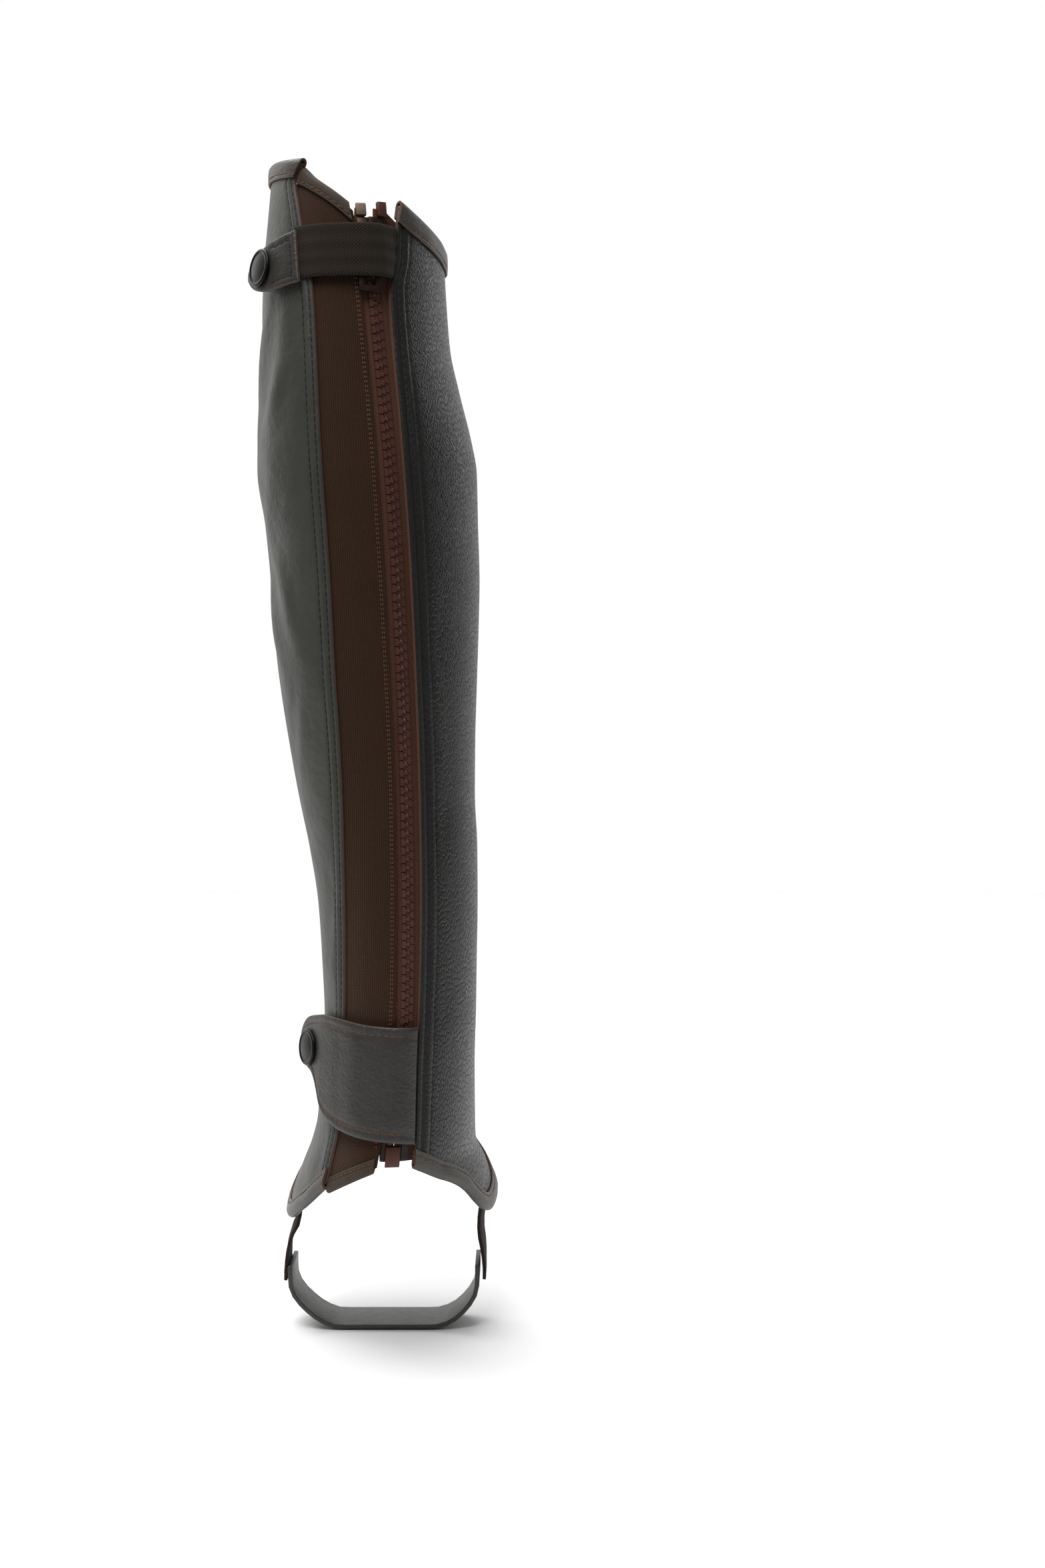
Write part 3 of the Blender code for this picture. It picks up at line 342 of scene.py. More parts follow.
class HalfChapSizes(bpy.types.PropertyGroup):
    """Sizes of the sewing, the weave, the grain and the zip."""
    stitch: length(3.2, "Stitch", "Length of one machine stitch")
    thread: length(0.62, "Thread", "Thickness of the sewing thread")
    tooth: length(3.6, "Tooth pitch", "Distance from one zip tooth to the next on the same side")
    rib: length(0.95, "Rib", "Width of one rib of the knitted elastic, a little wide so that it shows")
    pebble: length(1.1, "Pebble", "Width of one pebble of the grained leather")


class HalfChapColours(bpy.types.PropertyGroup):
    """Colours of the half chap's materials."""
    smooth_leather: tone("#3b3b36", "Smooth leather")
    grained_leather: tone("#12110f", "Grained leather")
    binding_leather: tone("#403d38", "Binding leather")
    strap_leather: tone("#2b2925", "Strap leather")
    raw_edge: tone("#5a3c2b", "Raw edge")
    suede: tone("#4a3f35", "Inner side")
    elastic: tone("#38261a", "Elastic")
    band: tone("#3d332a", "Elastic's band")
    tape: tone("#573b2e", "Zip tape")
    teeth: tone("#4c2a20", "Zip teeth")
    webbing: tone("#29231b", "Strap webbing")
    foot_webbing: tone("#2a221e", "Foot elastic")
    snap: tone("#1b1b19", "Snap metal")
    slider: tone("#3a2d27", "Slider metal")
    stop: tone("#6f5f4f", "Top stop")
    film: tone("#1e1814", "Film")
    thread: tone("#24221f", "Thread")
    paper: tone("#efefef", "Floor paper")


def colours():
    return bpy.context.scene.half_chap_colours


def sizes():
    return bpy.context.scene.half_chap_sizes


def connect(owner, node, inputs):
    """Links or sets a node's inputs, given by name or place."""
    for name, value in dict(inputs).items():
        if isinstance(value, bpy.types.NodeSocket):
            owner.node_tree.links.new(value, node.inputs[name])
        else:
            node.inputs[name].default_value = value


def add(owner, kind, inputs=(), output=0, **settings):
    """Adds a node to a material or world with its settings and inputs, and gives one of its outputs."""
    made = owner.node_tree.nodes.new(f"ShaderNode{kind}")
    for name, value in settings.items():
        setattr(made, name, value)
    connect(owner, made, inputs)
    return made.outputs[output]


def new_material(name, on_surface=False):
    """A material and its coordinates in metres: the object's, or the piece's own UV map's."""
    material = bpy.data.materials.new(name)
    material.use_nodes = True
    if on_surface:
        return material, add(material, "UVMap", uv_map="lie")
    return material, add(material, "TexCoord", output="Object")


def finished(material, colour, dark, light, amount, **values):
    """Colours a material between a darker and a lighter tone, and gives its shader the other values."""
    low, high = ([*(min(part * share, 1) for part in colour), 1] for share in (dark, light))
    mixed = add(material, "Mix", {0: amount, 6: low, 7: high}, 2, data_type="RGBA")
    inputs = {name.replace("_", " "): value for name, value in values.items()}
    connect(material, material.node_tree.nodes["Principled BSDF"], {"Base Color": mixed, **inputs})
    return material


def total(material, *parts, start=0.0):
    """Weighted sum of outputs, from pairs of an output and its weight."""
    for value, weight in parts:
        start = add(material, "Math", {0: value, 1: weight, 2: start}, operation="MULTIPLY_ADD")
    return start


def wave(material, distance, size):
    """A sine along a distance, with a crest for each size in metres."""
    turns = total(material, (distance, 2 * math.pi / size))
    return add(material, "Math", {0: turns}, operation="SINE")


def blotches(place, size, detail=3.0, roughness=0.5):
    """Inputs of a noise with soft, even blotches of about a size in metres."""
    return {"Vector": place, "Scale": 1 / size, "Detail": detail, "Roughness": roughness}


def relief(height, depth, strength, **under):
    """Inputs of a bump that only the light sees, on top of another's Normal where one is given."""
    return {"Height": height, "Distance": depth, "Strength": strength, **under}


def worn_finish(name, colour, tones, blotch, bumps=None, gloss=None, **values):
    """A plain finish whose tone, relief and gloss all follow one set of blotches."""
    material, place = new_material(name)
    spots = add(material, "TexNoise", blotches(place, *blotch))
    if bumps:
        values["Normal"] = add(material, "Bump", relief(spots, *bumps))
    if gloss:
        values["Roughness"] = add(material, "MapRange", {0: spots, 3: gloss[0], 4: gloss[1]})
    return finished(material, colour, *tones, spots, **values)


def once(make):
    """Runs a material's function only the first time, and keeps what it made."""
    def kept():
        name = make.__name__
        return bpy.data.materials.get(name) or make(name)
    return kept


@once
def smooth_aniline_leather(name):
    """Drum-dyed calf, lightly oiled: fine hair-cell grain, a soft sheen and uneven tone."""
    material, place = new_material(name)
    cells = add(material, "TexVoronoi", {"Vector": place, "Scale": 1 / 0.0011}, "Distance",
                feature="DISTANCE_TO_EDGE")
    fine = add(material, "TexNoise", blotches(place, 0.0006, 2.0))
    pull = add(material, "TexNoise", blotches(place, 0.012, 4.0, 0.6))
    broad = add(material, "TexNoise", blotches(place, 0.045, 2.0))
    grain = total(material, (cells, 0.9), (fine, 0.5))
    pulled = add(material, "Bump", relief(pull, 0.0022, 0.4))
    return finished(
        material, colours().smooth_leather, 0.74, 1.3, total(material, (broad, 0.65), (pull, 0.35)),
        Roughness=add(material, "MapRange", {0: pull, 3: 0.4, 4: 0.58}), Specular_IOR_Level=0.35,
        Normal=add(material, "Bump", relief(grain, 0.00012, 0.6, Normal=pulled)),
    )


@once
def pebbled_leather(name):
    """Milled cowhide: long upright pebbles, waxy on top, with dark valleys; pressed flat by the zip."""
    material, place = new_material(name, on_surface=True)
    wide = sizes().pebble
    drift = add(material, "TexNoise", {"Vector": place, "Scale": 1 / 0.006, "Detail": 2.0}, "Color")
    pushed = add(material, "VectorMath", {0: drift, 1: (0.0016, 0.0016, 0), 2: place},
                 operation="MULTIPLY_ADD")
    slanted = add(material, "Mapping", {"Vector": pushed, "Rotation": (0, 0, -0.2)})
    cell = add(material, "Mapping", {"Vector": slanted, "Scale": (1 / wide, 0.4 / wide, 1)})
    gaps = add(material, "TexVoronoi", {"Vector": cell, "Scale": 1.0}, "Distance",
               feature="DISTANCE_TO_EDGE", voronoi_dimensions="2D")
    tops = add(material, "MapRange", {0: gaps, 2: 0.3}, interpolation_type="SMOOTHSTEP")
    uneven = add(material, "TexNoise", blotches(cell, 0.6, 2.0))
    broad = add(material, "TexNoise", blotches(place, 0.03, 2.0))
    height = total(material, (tops, 0.6), (uneven, 0.5))
    aside = add(material, "SeparateXYZ", {0: place})
    free = add(material, "MapRange", {0: aside, 1: 0.0025, 2: 0.011, 3: 0.12})
    # Colour follows the pebble tops: painted highlight on them and painted shade in the valleys, mixed
    # with broad random tone.
    return finished(
        material, colours().grained_leather, 0.45, 1.8, total(material, (tops, 0.6), (broad, 0.4)),
        Roughness=add(material, "MapRange", {0: height, 1: 0.2, 2: 0.9, 3: 0.6, 4: 0.27}),
        Normal=add(material, "Bump", relief(height, 0.0003, free)),
    )


def strip_leather(name, colour, grain, upright=1.0):
    """A thin, worked strip of leather: fine grain, and paler where it is rubbed."""
    material, place = new_material(name)
    stretched = add(material, "Mapping", {"Vector": place, "Scale": (1, 1, upright)})
    cells = add(material, "TexVoronoi", {"Vector": stretched, "Scale": 1 / 0.0012}, "Distance",
                feature="SMOOTH_F1")
    rub = add(material, "TexNoise", blotches(stretched, 0.005, 4.0, 0.65))
    broad = add(material, "TexNoise", blotches(place, 0.03, 2.0))
    rubbed = add(material, "Bump", relief(rub, 0.0006, 0.5))
    return finished(
        material, colour, 0.62, 1.45, total(material, (rub, 0.6), (broad, 0.4)), Specular_IOR_Level=0.55,
        Roughness=add(material, "MapRange", {0: rub, 3: 0.36, 4: 0.58}),
        Normal=add(material, "Bump", relief(cells, grain, 0.7, Normal=rubbed)),
    )


@once
def folded_binding_leather(name):
    """Skived calf strip, folded over: grain drawn out along the strip, rubbed paler on the fold."""
    return strip_leather(name, colours().binding_leather, 0.0002, 2.2)


@once
def strap_tab_leather(name):
    """Firm strap leather: even grain with a low polish."""
    return strip_leather(name, colours().strap_leather, 0.00022)


@once
def raw_leather_edge(name):
    """Cut edge of vegetable-tanned leather: brown, matt and fibrous."""
    return worn_finish(name, colours().raw_edge, (0.55, 1.5), (0.0009, 4, 0.7), (0.0003, 0.8),
                       Roughness=0.8)


@once
def suede_inner_side(name):
    """Flesh side of the leather: short brown nap, matt."""
    return worn_finish(name, colours().suede, (0.7, 1.3), (0.0014, 5, 0.7), (0.0003, 0.7),
                       Roughness=0.95, Specular_IOR_Level=0.15, Sheen_Weight=0.1)


@once
def ribbed_knit_elastic(name):
    """Covered-rubber elastic, knitted in fine upright ribs: matt brown with a paler fleck."""
    material, place = new_material(name, on_surface=True)
    along, up = (add(material, "SeparateXYZ", {0: place}, axis) for axis in "XY")
    ribs = wave(material, along, sizes().rib)
    loops = add(material, "Math", {0: ribs, 1: wave(material, up, 0.0013)}, operation="MULTIPLY")
    lift = total(material, (ribs, 0.5), (loops, 0.22), start=0.5)
    fleck = add(material, "TexNoise", blotches(place, 0.0016, 3, 0.7))
    broad = add(material, "TexNoise", blotches(place, 0.02, 2))
    # Colour follows the ribs' lift: painted highlight on the crests and painted shade in the valleys,
    # mixed with random fleck and tone.
    painted_shade_and_random_tone = total(material, (lift, 0.42), (fleck, 0.42), (broad, 0.2))
    return finished(
        material, colours().elastic, 0.5, 1.6, painted_shade_and_random_tone, Roughness=0.9, Specular_IOR_Level=0.12,
        Normal=add(material, "Bump", relief(lift, 0.0003, 0.9)), Sheen_Weight=0.05,
    )


def woven_cloth(name, colour, across, up, slant=0.0, fold=0.0):
    """Woven tape or webbing: rows of yarn at the given spacings, slanted as a twill where asked."""
    material, place = new_material(name, on_surface=True)
    along, high = (add(material, "SeparateXYZ", {0: place}, axis) for axis in "XY")
    if fold:
        from_fold = total(material, (along, 1), start=-fold)
        along = add(material, "Math", {0: from_fold}, operation="ABSOLUTE")
    warp = wave(material, along, across)
    weft = wave(material, total(material, (along, slant), (high, 1)), up)
    lift = total(material, (weft, 0.36), (warp, 0.14), start=0.5)
    fleck = add(material, "TexNoise", blotches(place, 0.0012, 3, 0.7))
    # Colour follows the weave's lift: painted highlight on the raised yarns and painted shade between
    # them, mixed with a random fleck.
    painted_shade_and_random_tone = total(material, (lift, 0.6), (fleck, 0.4))
    return finished(
        material, colour, 0.45, 1.65, painted_shade_and_random_tone, Roughness=0.9, Specular_IOR_Level=0.12,
        Normal=add(material, "Bump", relief(lift, 0.00025, 0.9)), Sheen_Weight=0.05,
    )


@once
def twill_webbing(name):
    """Elastic webbing in a steep twill that turns back on itself near its inner end."""
    return woven_cloth(name, colours().webbing, 0.0011, 0.0013, 1.0, -0.004)


@once
def herringbone_tape(name):
    """Polyester zip tape: fine slanting rows, matt."""
    return woven_cloth(name, colours().tape, 0.0009, 0.0011, 0.6)


@once
def foot_elastic_webbing(name):
    """Flat woven elastic: level rows across its width."""
    return woven_cloth(name, colours().foot_webbing, 0.0014, 0.0010)


@once
def gusset_band_cloth(name):
    """Brushed stretch binding: smooth and soft, with a dusty bloom and hardly any weave."""
    material, place = new_material(name)
    nap = add(material, "TexNoise", blotches(place, 0.0005, 2.0))
    dust = add(material, "TexNoise", blotches(place, 0.004, 4, 0.6))
    return finished(
        material, colours().band, 0.65, 1.4, total(material, (dust, 0.6), (nap, 0.4)), Roughness=0.7,
        Normal=add(material, "Bump", relief(nap, 0.0001, 0.6)), Specular_IOR_Level=0.3,
    )


@once
def moulded_acetal(name):
    """Injection-moulded zip teeth: brown acetal, satin, a little worn on top."""
    return worn_finish(name, colours().teeth, (0.7, 1.4), (0.004, 3), gloss=(0.3, 0.5), IOR=1.48)


@once
def black_nickel(name):
    """Pressed steel plated with black nickel: dark and smooth, dulled by handling."""
    return worn_finish(name, colours().snap, (0.8, 1.5), (0.0025, 4, 0.6), (0.00004, 0.5), (0.28, 0.48),
                       Metallic=0.85)


@once
def antique_brass_slider(name):
    """Cast zinc with an antique brass plating: brown-black, a little grainy."""
    return worn_finish(name, colours().slider, (0.8, 1.5), (0.0025, 4, 0.6), (0.00004, 0.5), (0.3, 0.5),
                       Metallic=0.85)


@once
def stiffening_film(name):
    """Heat-sealed nylon film over the tape's end: dark, glossy and slightly rippled."""
    return worn_finish(name, colours().film, (0.8, 2.0), (0.003, 2), (0.0002, 0.5), Roughness=0.28)


@once
def dark_thread(name):
    """Bonded polyester thread, dark: its twist shows as small light and dark strands."""
    return worn_finish(name, colours().thread, (0.5, 1.7), (0.0004, 2), Roughness=0.6,
                       Specular_IOR_Level=0.25)


@once
def brown_thread(name):
    """Bonded polyester thread, brown."""
    return worn_finish(name, colours().raw_edge, (0.5, 1.7), (0.0004, 2), Roughness=0.6,
                       Specular_IOR_Level=0.25)


@once
def tan_top_stop(name):
    """Left stop of the zip: a lighter, tan moulding."""
    return worn_finish(name, colours().stop, (0.75, 1.3), (0.002, 3), Roughness=0.5)


@once
def seamless_paper(name):
    """Matt white seamless paper."""
    return finished(new_material(name)[0], colours().paper, 1, 1, 0, Roughness=0.9)


def register_piece(obj, slot_name, *nodes, body="chap"):
    """Ties a finished piece to its body, its finish and the nodes that it stands for."""
    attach(obj, body)
    if nodes:
        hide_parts(*nodes)
    return obj


def link_object(name, content):
    obj = bpy.data.objects.new(name, content)
    bpy.context.scene.collection.objects.link(obj)
    return obj


def link_form(form, name, materials, angle):
    """An object from a form: its faces turned outwards, smooth but for edges past the angle."""
    bmesh.ops.recalc_face_normals(form, faces=form.faces[:])
    if form.calc_volume(signed=True) < 0:
        bmesh.ops.reverse_faces(form, faces=form.faces[:])
    mesh = bpy.data.meshes.new(name)
    form.to_mesh(mesh)
    form.free()
    for material in materials:
        mesh.materials.append(material())
    mesh.shade_smooth()
    mesh.set_sharp_from_angle(angle=math.radians(angle))
    return link_object(name, mesh)


def coordinates(form):
    return np.array([vertex.co for vertex in form.verts], float)


def move(form, points):
    for vertex, point in zip(form.verts, points):
        vertex.co = point


def map_surface(form, spots):
    """Adds the UV map that woven and grained finishes follow, from a spot for each vertex."""
    layer = form.loops.layers.uv.new("lie")
    for vertex, spot in zip(form.verts, spots):
        for corner in vertex.link_loops:
            corner[layer].uv = spot


def sheet_piece(name, node, slot_name, across, up, spot, materials, line="zip", **facts):
    """One closed sheet on a grid of stations, with a face, an edge and an inner side as materials.

    spot gives the turns, heights and distances out for stations across and up, on the face or behind
    it. The UV map holds the distance round the leg from one of the back lines, and the height.
    """
    form = bmesh.new()
    columns, rows = len(across) - 1, len(up) - 1
    bmesh.ops.create_grid(form, x_segments=columns, y_segments=rows, size=0.5)
    grown = bmesh.ops.extrude_face_region(form, geom=form.faces[:], use_keep_orig=True)
    inner = [part for part in grown["geom"] if isinstance(part, bmesh.types.BMVert)]
    bmesh.ops.translate(form, verts=inner, vec=(0, 0, -1))
    for face in form.faces:
        face.material_index = round(-2 * face.calc_center_median().z)
    flat = coordinates(form)
    s = np.asarray(across, float)[np.rint((flat[:, 0] + 0.5) * columns).astype(int)]
    t = np.asarray(up, float)[np.rint((flat[:, 1] + 0.5) * rows).astype(int)]
    turns, heights, outs = spot(s, t, True)
    is_outer = flat[:, 2:] > -0.5
    move(form, np.where(is_outer, skin(turns, heights, outs), skin(*spot(s, t, False))) * MM)
    aside = girth_at(turns, heights) - line_girth(line, heights)
    map_surface(form, np.stack((aside, heights), axis=-1) * MM)
    register_piece(link_form(form, name, materials, 50), slot_name, node)


def steps(start, end, size):
    """Even stations from start to end, about one size apart."""
    count = max(1, round(abs(end - start) / size))
    return [between(start, end, place / count) for place in range(count + 1)]


def softened(distance, radius=0.7, drop=0.4):
    """How far a face sinks as it comes near its cut edge."""
    return -drop * np.clip(1 - distance / radius, 0, 1) ** 2


def furrow(distance, middle, width, depth):
    return -depth * np.exp(-(((distance - middle) / width) ** 2))


EDGE_INSET = LEATHER / 2 + GAP + BINDING
GUSSET_INSET = (ELASTIC_FACE - ELASTIC_BACK) / 2 + GAP + BINDING
NEAR = 12.0
NEAR_STATIONS = [0, 0.35, 0.8, 1.3, 1.9, 2.5, *steps(3.0, 6.0, 0.6), 6.7, 7.4, 8.1, 9.0, 10.4, NEAR]

# A place between slanting edges is found in rounds, from a first guess of the edges' heights
SETTLE_ROUNDS = 8
HEM_GUESS, TOP_GUESS = -300.0, 100.0

# Heights between which a turned edge shows, and the turn and heights where the flat cut is measured
TURNED_SPAN = (-262, 66)
FLAT_TURN = 179.5
FLAT_HEIGHTS = np.linspace(-300, 90, 60)


def evenly(points, *values):
    """The values at needle holes, one stitch apart along a line of points."""
    lengths = np.concatenate(([0], np.cumsum(np.linalg.norm(np.diff(points, axis=0), axis=1))))
    count = max(2, round(lengths[-1] * MM / sizes().stitch))
    return [np.interp(np.linspace(0, lengths[-1], count + 1), lengths, row) for row in values]


@dataclass
class Panel:
    """A leather panel from its line at the back round to the front seam.

    A station up to NEAR is a distance from the line in millimetres, and the rest is the share of
    the way from there to the seam. Beside the line the leather has a soft edge, pressed rows, a
    padded bead between them and ripples beyond.
    """
    line: str
    side: int
    long: float
    edge: tuple
    rows: list
    bead: tuple
    pucker: float
    ripple: tuple
    waves: tuple
    turned_edge: float = 0.0

    def turn(self, station, height):
        start = line_girth(self.line, height)
        near = turn_at(start + self.side * np.minimum(station, NEAR), height)
        return np.where(station <= NEAR, near, between(near, self.side * FRONT_SEAM, station - NEAR))

    def spot(self, station, up, is_outer):
        """Turn, height and distance out of a place, up from the hem's binding to the top's."""
        height = between(HEM_GUESS, TOP_GUESS, up)
        for _ in range(SETTLE_ROUNDS):
            turn = self.turn(station, height)
            low = read(HEM, "height", turn) + EDGE_INSET * lean(HEM, turn)
            high = read(TOP, "height", turn) - EDGE_INSET * lean(TOP, turn)
            height = between(low, high, up)
        if is_outer:
            return turn, height, self.shaping(turn, height)
        turned = self.distance(turn, height) < self.turned_edge
        turned &= (height > TURNED_SPAN[0]) & (height < TURNED_SPAN[1])
        return turn, height, np.where(turned, ELASTIC_BACK, LEATHER_BACK)

    def distance(self, turn, height):
        return np.abs(girth_at(turn, height) - line_girth(self.line, height))

    def shaping(self, turn, height):
        """Soft shaping of the face beside the sewing."""
        distance = self.distance(turn, height)
        seam = np.abs(girth_at(self.side * FRONT_SEAM, height) - girth_at(turn, height))
        rise = softened(distance, *self.edge) + softened(seam, 1.2, 0.6)
        for row in self.rows:
            rise = rise + furrow(distance, *row)
        for row in FRONT_ROWS:
            rise = rise + furrow(seam, row, 0.6, 0.25)
        rise = rise - furrow(distance, *self.bead) * (1 + self.pucker * np.sin(height * math.tau / 3.2))
        waves = zip((1, 0.7, 0.5), self.waves)
        ripple = sum(share * np.sin(height / size + start) for share, (size, start) in waves)
        return rise - furrow(distance, *self.ripple) * ripple

    def leather(self, name, node, slot_name, face, columns, rows, neighbour):
        """The panel's piece, with the width, length and area of its flat cut."""
        widths = self.distance(self.side * FLAT_TURN, FLAT_HEIGHTS)
        stations = NEAR_STATIONS + [NEAR + share for share in steps(0, 1, 1 / columns)[1:]]
        sheet_piece(
            name, node, slot_name, stations, steps(0, 1, 1 / rows), self.spot,
            (face, raw_leather_edge, suede_inner_side), self.line,
            flat=(widths.max() * MM, self.long * MM), held="stretched", rests_on=[neighbour],
            area=widths.mean() * self.long * MM * MM,
        )


LATERAL = Panel(
    "gusset", -1, 440.0, edge=(0.9, 0.5), rows=[(row, 0.65, 0.32) for row in LATERAL_ROWS],
    bead=(3.6, 1.1, 0.28), pucker=0.12, ripple=(10, 4.0, 0.16), waves=((9.3, 0), (5.1, 1.7), (14.7, 0.6)),
)
MEDIAL = Panel(
    "leather", 1, 425.0, edge=(1.0, 0.6),
    rows=[(FOLDED_EDGE + 0.1, 0.45, 0.55), *((row, 0.6, 0.3) for row in MEDIAL_ROWS)],
    bead=(5.6, 1.2, 0.35), pucker=0.1, ripple=(11, 4.5, 0.14), waves=((11.3, 0.4), (6.1, 0), (17.1, 2.0)),
    turned_edge=FOLDED_EDGE + 0.3,
)


def lateral_leather():
    """Smooth leather on the outer side of the leg."""
    LATERAL.leather("lateral_leather", "lateral_panel", "smooth_leather", smooth_aniline_leather, 64, 270,
                    "elastic_gusset")


def medial_leather():
    """Grained leather on the inner side of the leg."""
    MEDIAL.leather("medial_leather", "medial_panel", "grained_leather", pebbled_leather, 60, 260,
                   "zip_tape_medial")


FOLD_ANGLES = (0, 0, 45, 90, 135, 180, 180)
FOLD_ROWS = [0, 0.06, 0.14, 0.24, 0.36, 0.5, 0.64, 0.78, 0.9, *steps(1, 5, 1 / 3), 5.3, 5.6, 5.85, 6]


def fold(row, is_outer, face, back, reach, reach_inside, puff=0.0):
    """Drop from the crest and distance out, for a strip folded over a wall's edge."""
    inner_radius = (face - back) / 2 + GAP
    crest = inner_radius + BINDING
    radius = crest if is_outer else inner_radius
    angle = np.radians(np.interp(row, range(7), FOLD_ANGLES))
    down = np.interp(row, (0, 1, 5, 6), (reach, crest, crest, reach_inside))
    out = (face + back) / 2 + radius * np.cos(angle)
    if is_outer:
        from_edge = np.where(row <= 1, reach - down, 99.0)
        out = out + softened(from_edge, 0.8, 0.45) + furrow(from_edge, BINDING_ROW, 0.6, 0.3)
        out = out - furrow(row, 0.75, 0.4, puff)
    return down - radius * np.sin(angle), out


BINDINGS = {
    "top_binding_lateral": ("gusset", -1, TOP, -1, 7.8),
    "top_binding_medial": ("leather", 1, TOP, -1, 9.0),
    "hem_binding_lateral": ("gusset", -1, HEM, 1, 7.8),
    "hem_binding_medial": ("leather", 1, HEM, 1, 7.8),
}
BINDING_REACH_INSIDE = 7.0
BINDING_WIDTH = 0.0172


def binding_spot(line, side, edge, way, share, drop):
    """Turn and height at a share of the way round an edge, one drop away from it."""
    height = np.full(np.shape(share), TOP_GUESS if way < 0 else HEM_GUESS)
    for _ in range(SETTLE_ROUNDS):
        turn = between(line_turn(line, height), side * FRONT_SEAM, share)
        height = read(edge, "height", turn) + way * drop * lean(edge, turn)
    return turn, height


def edge_bindings():
    """Leather strips folded over the top edge and the hem."""
    for node, (*edge, reach) in BINDINGS.items():
        def spot(share, row, is_outer):
            drop, out = fold(row, is_outer, 0.0, LEATHER_BACK, reach, BINDING_REACH_INSIDE, 0.25)
            turn, height = binding_spot(*edge, share, drop)
            if is_outer:
                run = np.abs(girth_at(turn, height))
                out = out + 0.1 * np.sin(run / 3.1) * np.sin(run / 7.7 + 1) * (row < 1.5)
            return turn, height, out
        crest = skin(*binding_spot(*edge, np.linspace(0, 1, 60), 0), 1.0)
        long = np.linalg.norm(np.diff(crest, axis=0), axis=1).sum() * MM
        sheet_piece(
            f"folded_{node}", node, "binding_leather",
            [0, 0.002, 0.005, *steps(0.01, 0.99, 0.01), 0.995, 0.998, 1], FOLD_ROWS, spot,
            (folded_binding_leather, raw_leather_edge, suede_inner_side),
            flat=(BINDING_WIDTH, long), held="folded", rests_on=[node.split("_")[-1] + "_leather"],
        )


def gusset_turn(across, height):
    """Turn across the gusset, from its leather edge at 0 to its zip edge at 1, the lap below 0."""
    start, end = line_girth("gusset", height), line_girth("elastic", height)
    girth = np.where(across < 0, start + across * GUSSET_LAP, between(start, end, across))
    return turn_at(girth, height)


def gusset_edge(end, across, drop):
    """Height at a drop square to one of the elastic's slanting ends: positive is up."""
    across = np.clip(across, 0, 1)
    heights = [read(GUSSET_EDGE, end, np.clip(across + aside, 0, 1)) for aside in (-0.05, 0, 0.05)]
    apart = np.clip(across + 0.05, 0, 1) - np.clip(across - 0.05, 0, 1)
    run = (line_girth("elastic", heights[1]) - line_girth("gusset", heights[1])) * apart
    return heights[1] + drop * np.hypot(1, (heights[2] - heights[0]) / run)


BANDS = {"top": -1, "hem": 1}
BAND_REACH, BAND_REACH_INSIDE = 6.2, 5.4
GUSSET_WIDTH = 28


def elastic_gusset():
    """Ribbed elastic at the back, with its two bound ends."""
    def spot(across, up, is_outer):
        lap = across < 0.001
        low = np.where(lap, GUSSET_LAP_ENDS[0], gusset_edge("hem", across, GUSSET_INSET))
        high = np.where(lap, GUSSET_LAP_ENDS[1], gusset_edge("top", across, -GUSSET_INSET))
        height = between(low, high, up)
        face = ELASTIC_FACE + softened((1 - across) * GUSSET_WIDTH, 1.0, 0.35)
        return gusset_turn(across, height), height, face if is_outer else ELASTIC_BACK
    stations = [*steps(-1, 0, 0.25)[:-1], -0.001, 0.001, *steps(0, 1, 1 / 30)[1:-1], 0.985, 1]
    sheet_piece(
        "ribbed_gusset", "elastic_gusset", "knit_elastic", stations, steps(0, 1, 1 / 210), spot,
        [ribbed_knit_elastic] * 3, "gusset",
        flat=(0.034, 0.425), held="stretched", rests_on=["zip_tape_lateral"], area=0.0135,
    )
    for end, way in BANDS.items():
        def band_spot(across, row, is_outer):
            drop, out = fold(row, is_outer, ELASTIC_FACE, ELASTIC_BACK, BAND_REACH, BAND_REACH_INSIDE)
            height = gusset_edge(end, across, way * drop)
            return gusset_turn(across, height), height, out
        sheet_piece(
            f"bound_gusset_{end}_band", f"gusset_{end}_band", "band_cloth", steps(0.045, 0.955, 0.02),
            FOLD_ROWS, band_spot, [gusset_band_cloth] * 3,
            flat=(0.016, 0.029), held="folded", rests_on=["ribbed_gusset"],
        )


# Zip tapes: girth, low end and high end at each station outwards, and the inner edge at each height
TAPES = {
    "zip_tape_lateral": (
        (-3.25, -302.5, 90.5), (-4.8, -302.5, 90.5), (-6.2, -302.3, 90.3), (-7.3, -293.5, 82),
        (-14, -293.5, 82),
    ),
    "zip_tape_medial": (
        (3.25, -302.5, 90.3), (7.5, -302.5, 90), (11, -302.5, 87.5), (17, -302.5, 83.5),
    ),
}
TAPE_EDGES = table("height zip_tape_lateral zip_tape_medial", (
    (91, -1.5, 2.6), (86, -1.9, 2.3), (80, -2.7, 2.7), (74, -2.4, 2.4), (71, -1.4, 1.4),
    (-291, -1.4, 1.4), (-293, -0.1, 0.1), (-299.4, -0.1, 0.1), (-300, -3.4, 3.4), (-303, -3.4, 3.4),
))
TAPE_LENGTH = 0.39


def zip_tapes():
    """The two woven tapes of the zip."""
    for node, stations in TAPES.items():
        girths, bottoms, tops = (np.array(column, float) for column in zip(*stations))
        places = range(len(girths))

        def spot(across, up, is_outer):
            height = between(np.interp(across, places, bottoms), np.interp(across, places, tops), up)
            inner = between(read(TAPE_EDGES, node, height), girths[1], across)
            girth = np.where(across < 1, inner, np.interp(across, places, girths))
            return turn_at(girth, height), height, TAPE_FACE if is_outer else TAPE_BACK
        sheet_piece(
            f"woven_{node}", node, "zip_tape", steps(0, len(girths) - 1, 0.25), steps(0, 1, 1 / 160),
            spot, [herringbone_tape] * 3,
            flat=((abs(girths[-1]) - 3.25) * MM, TAPE_LENGTH), held="stretched", rests_on=["zip_teeth"],
        )


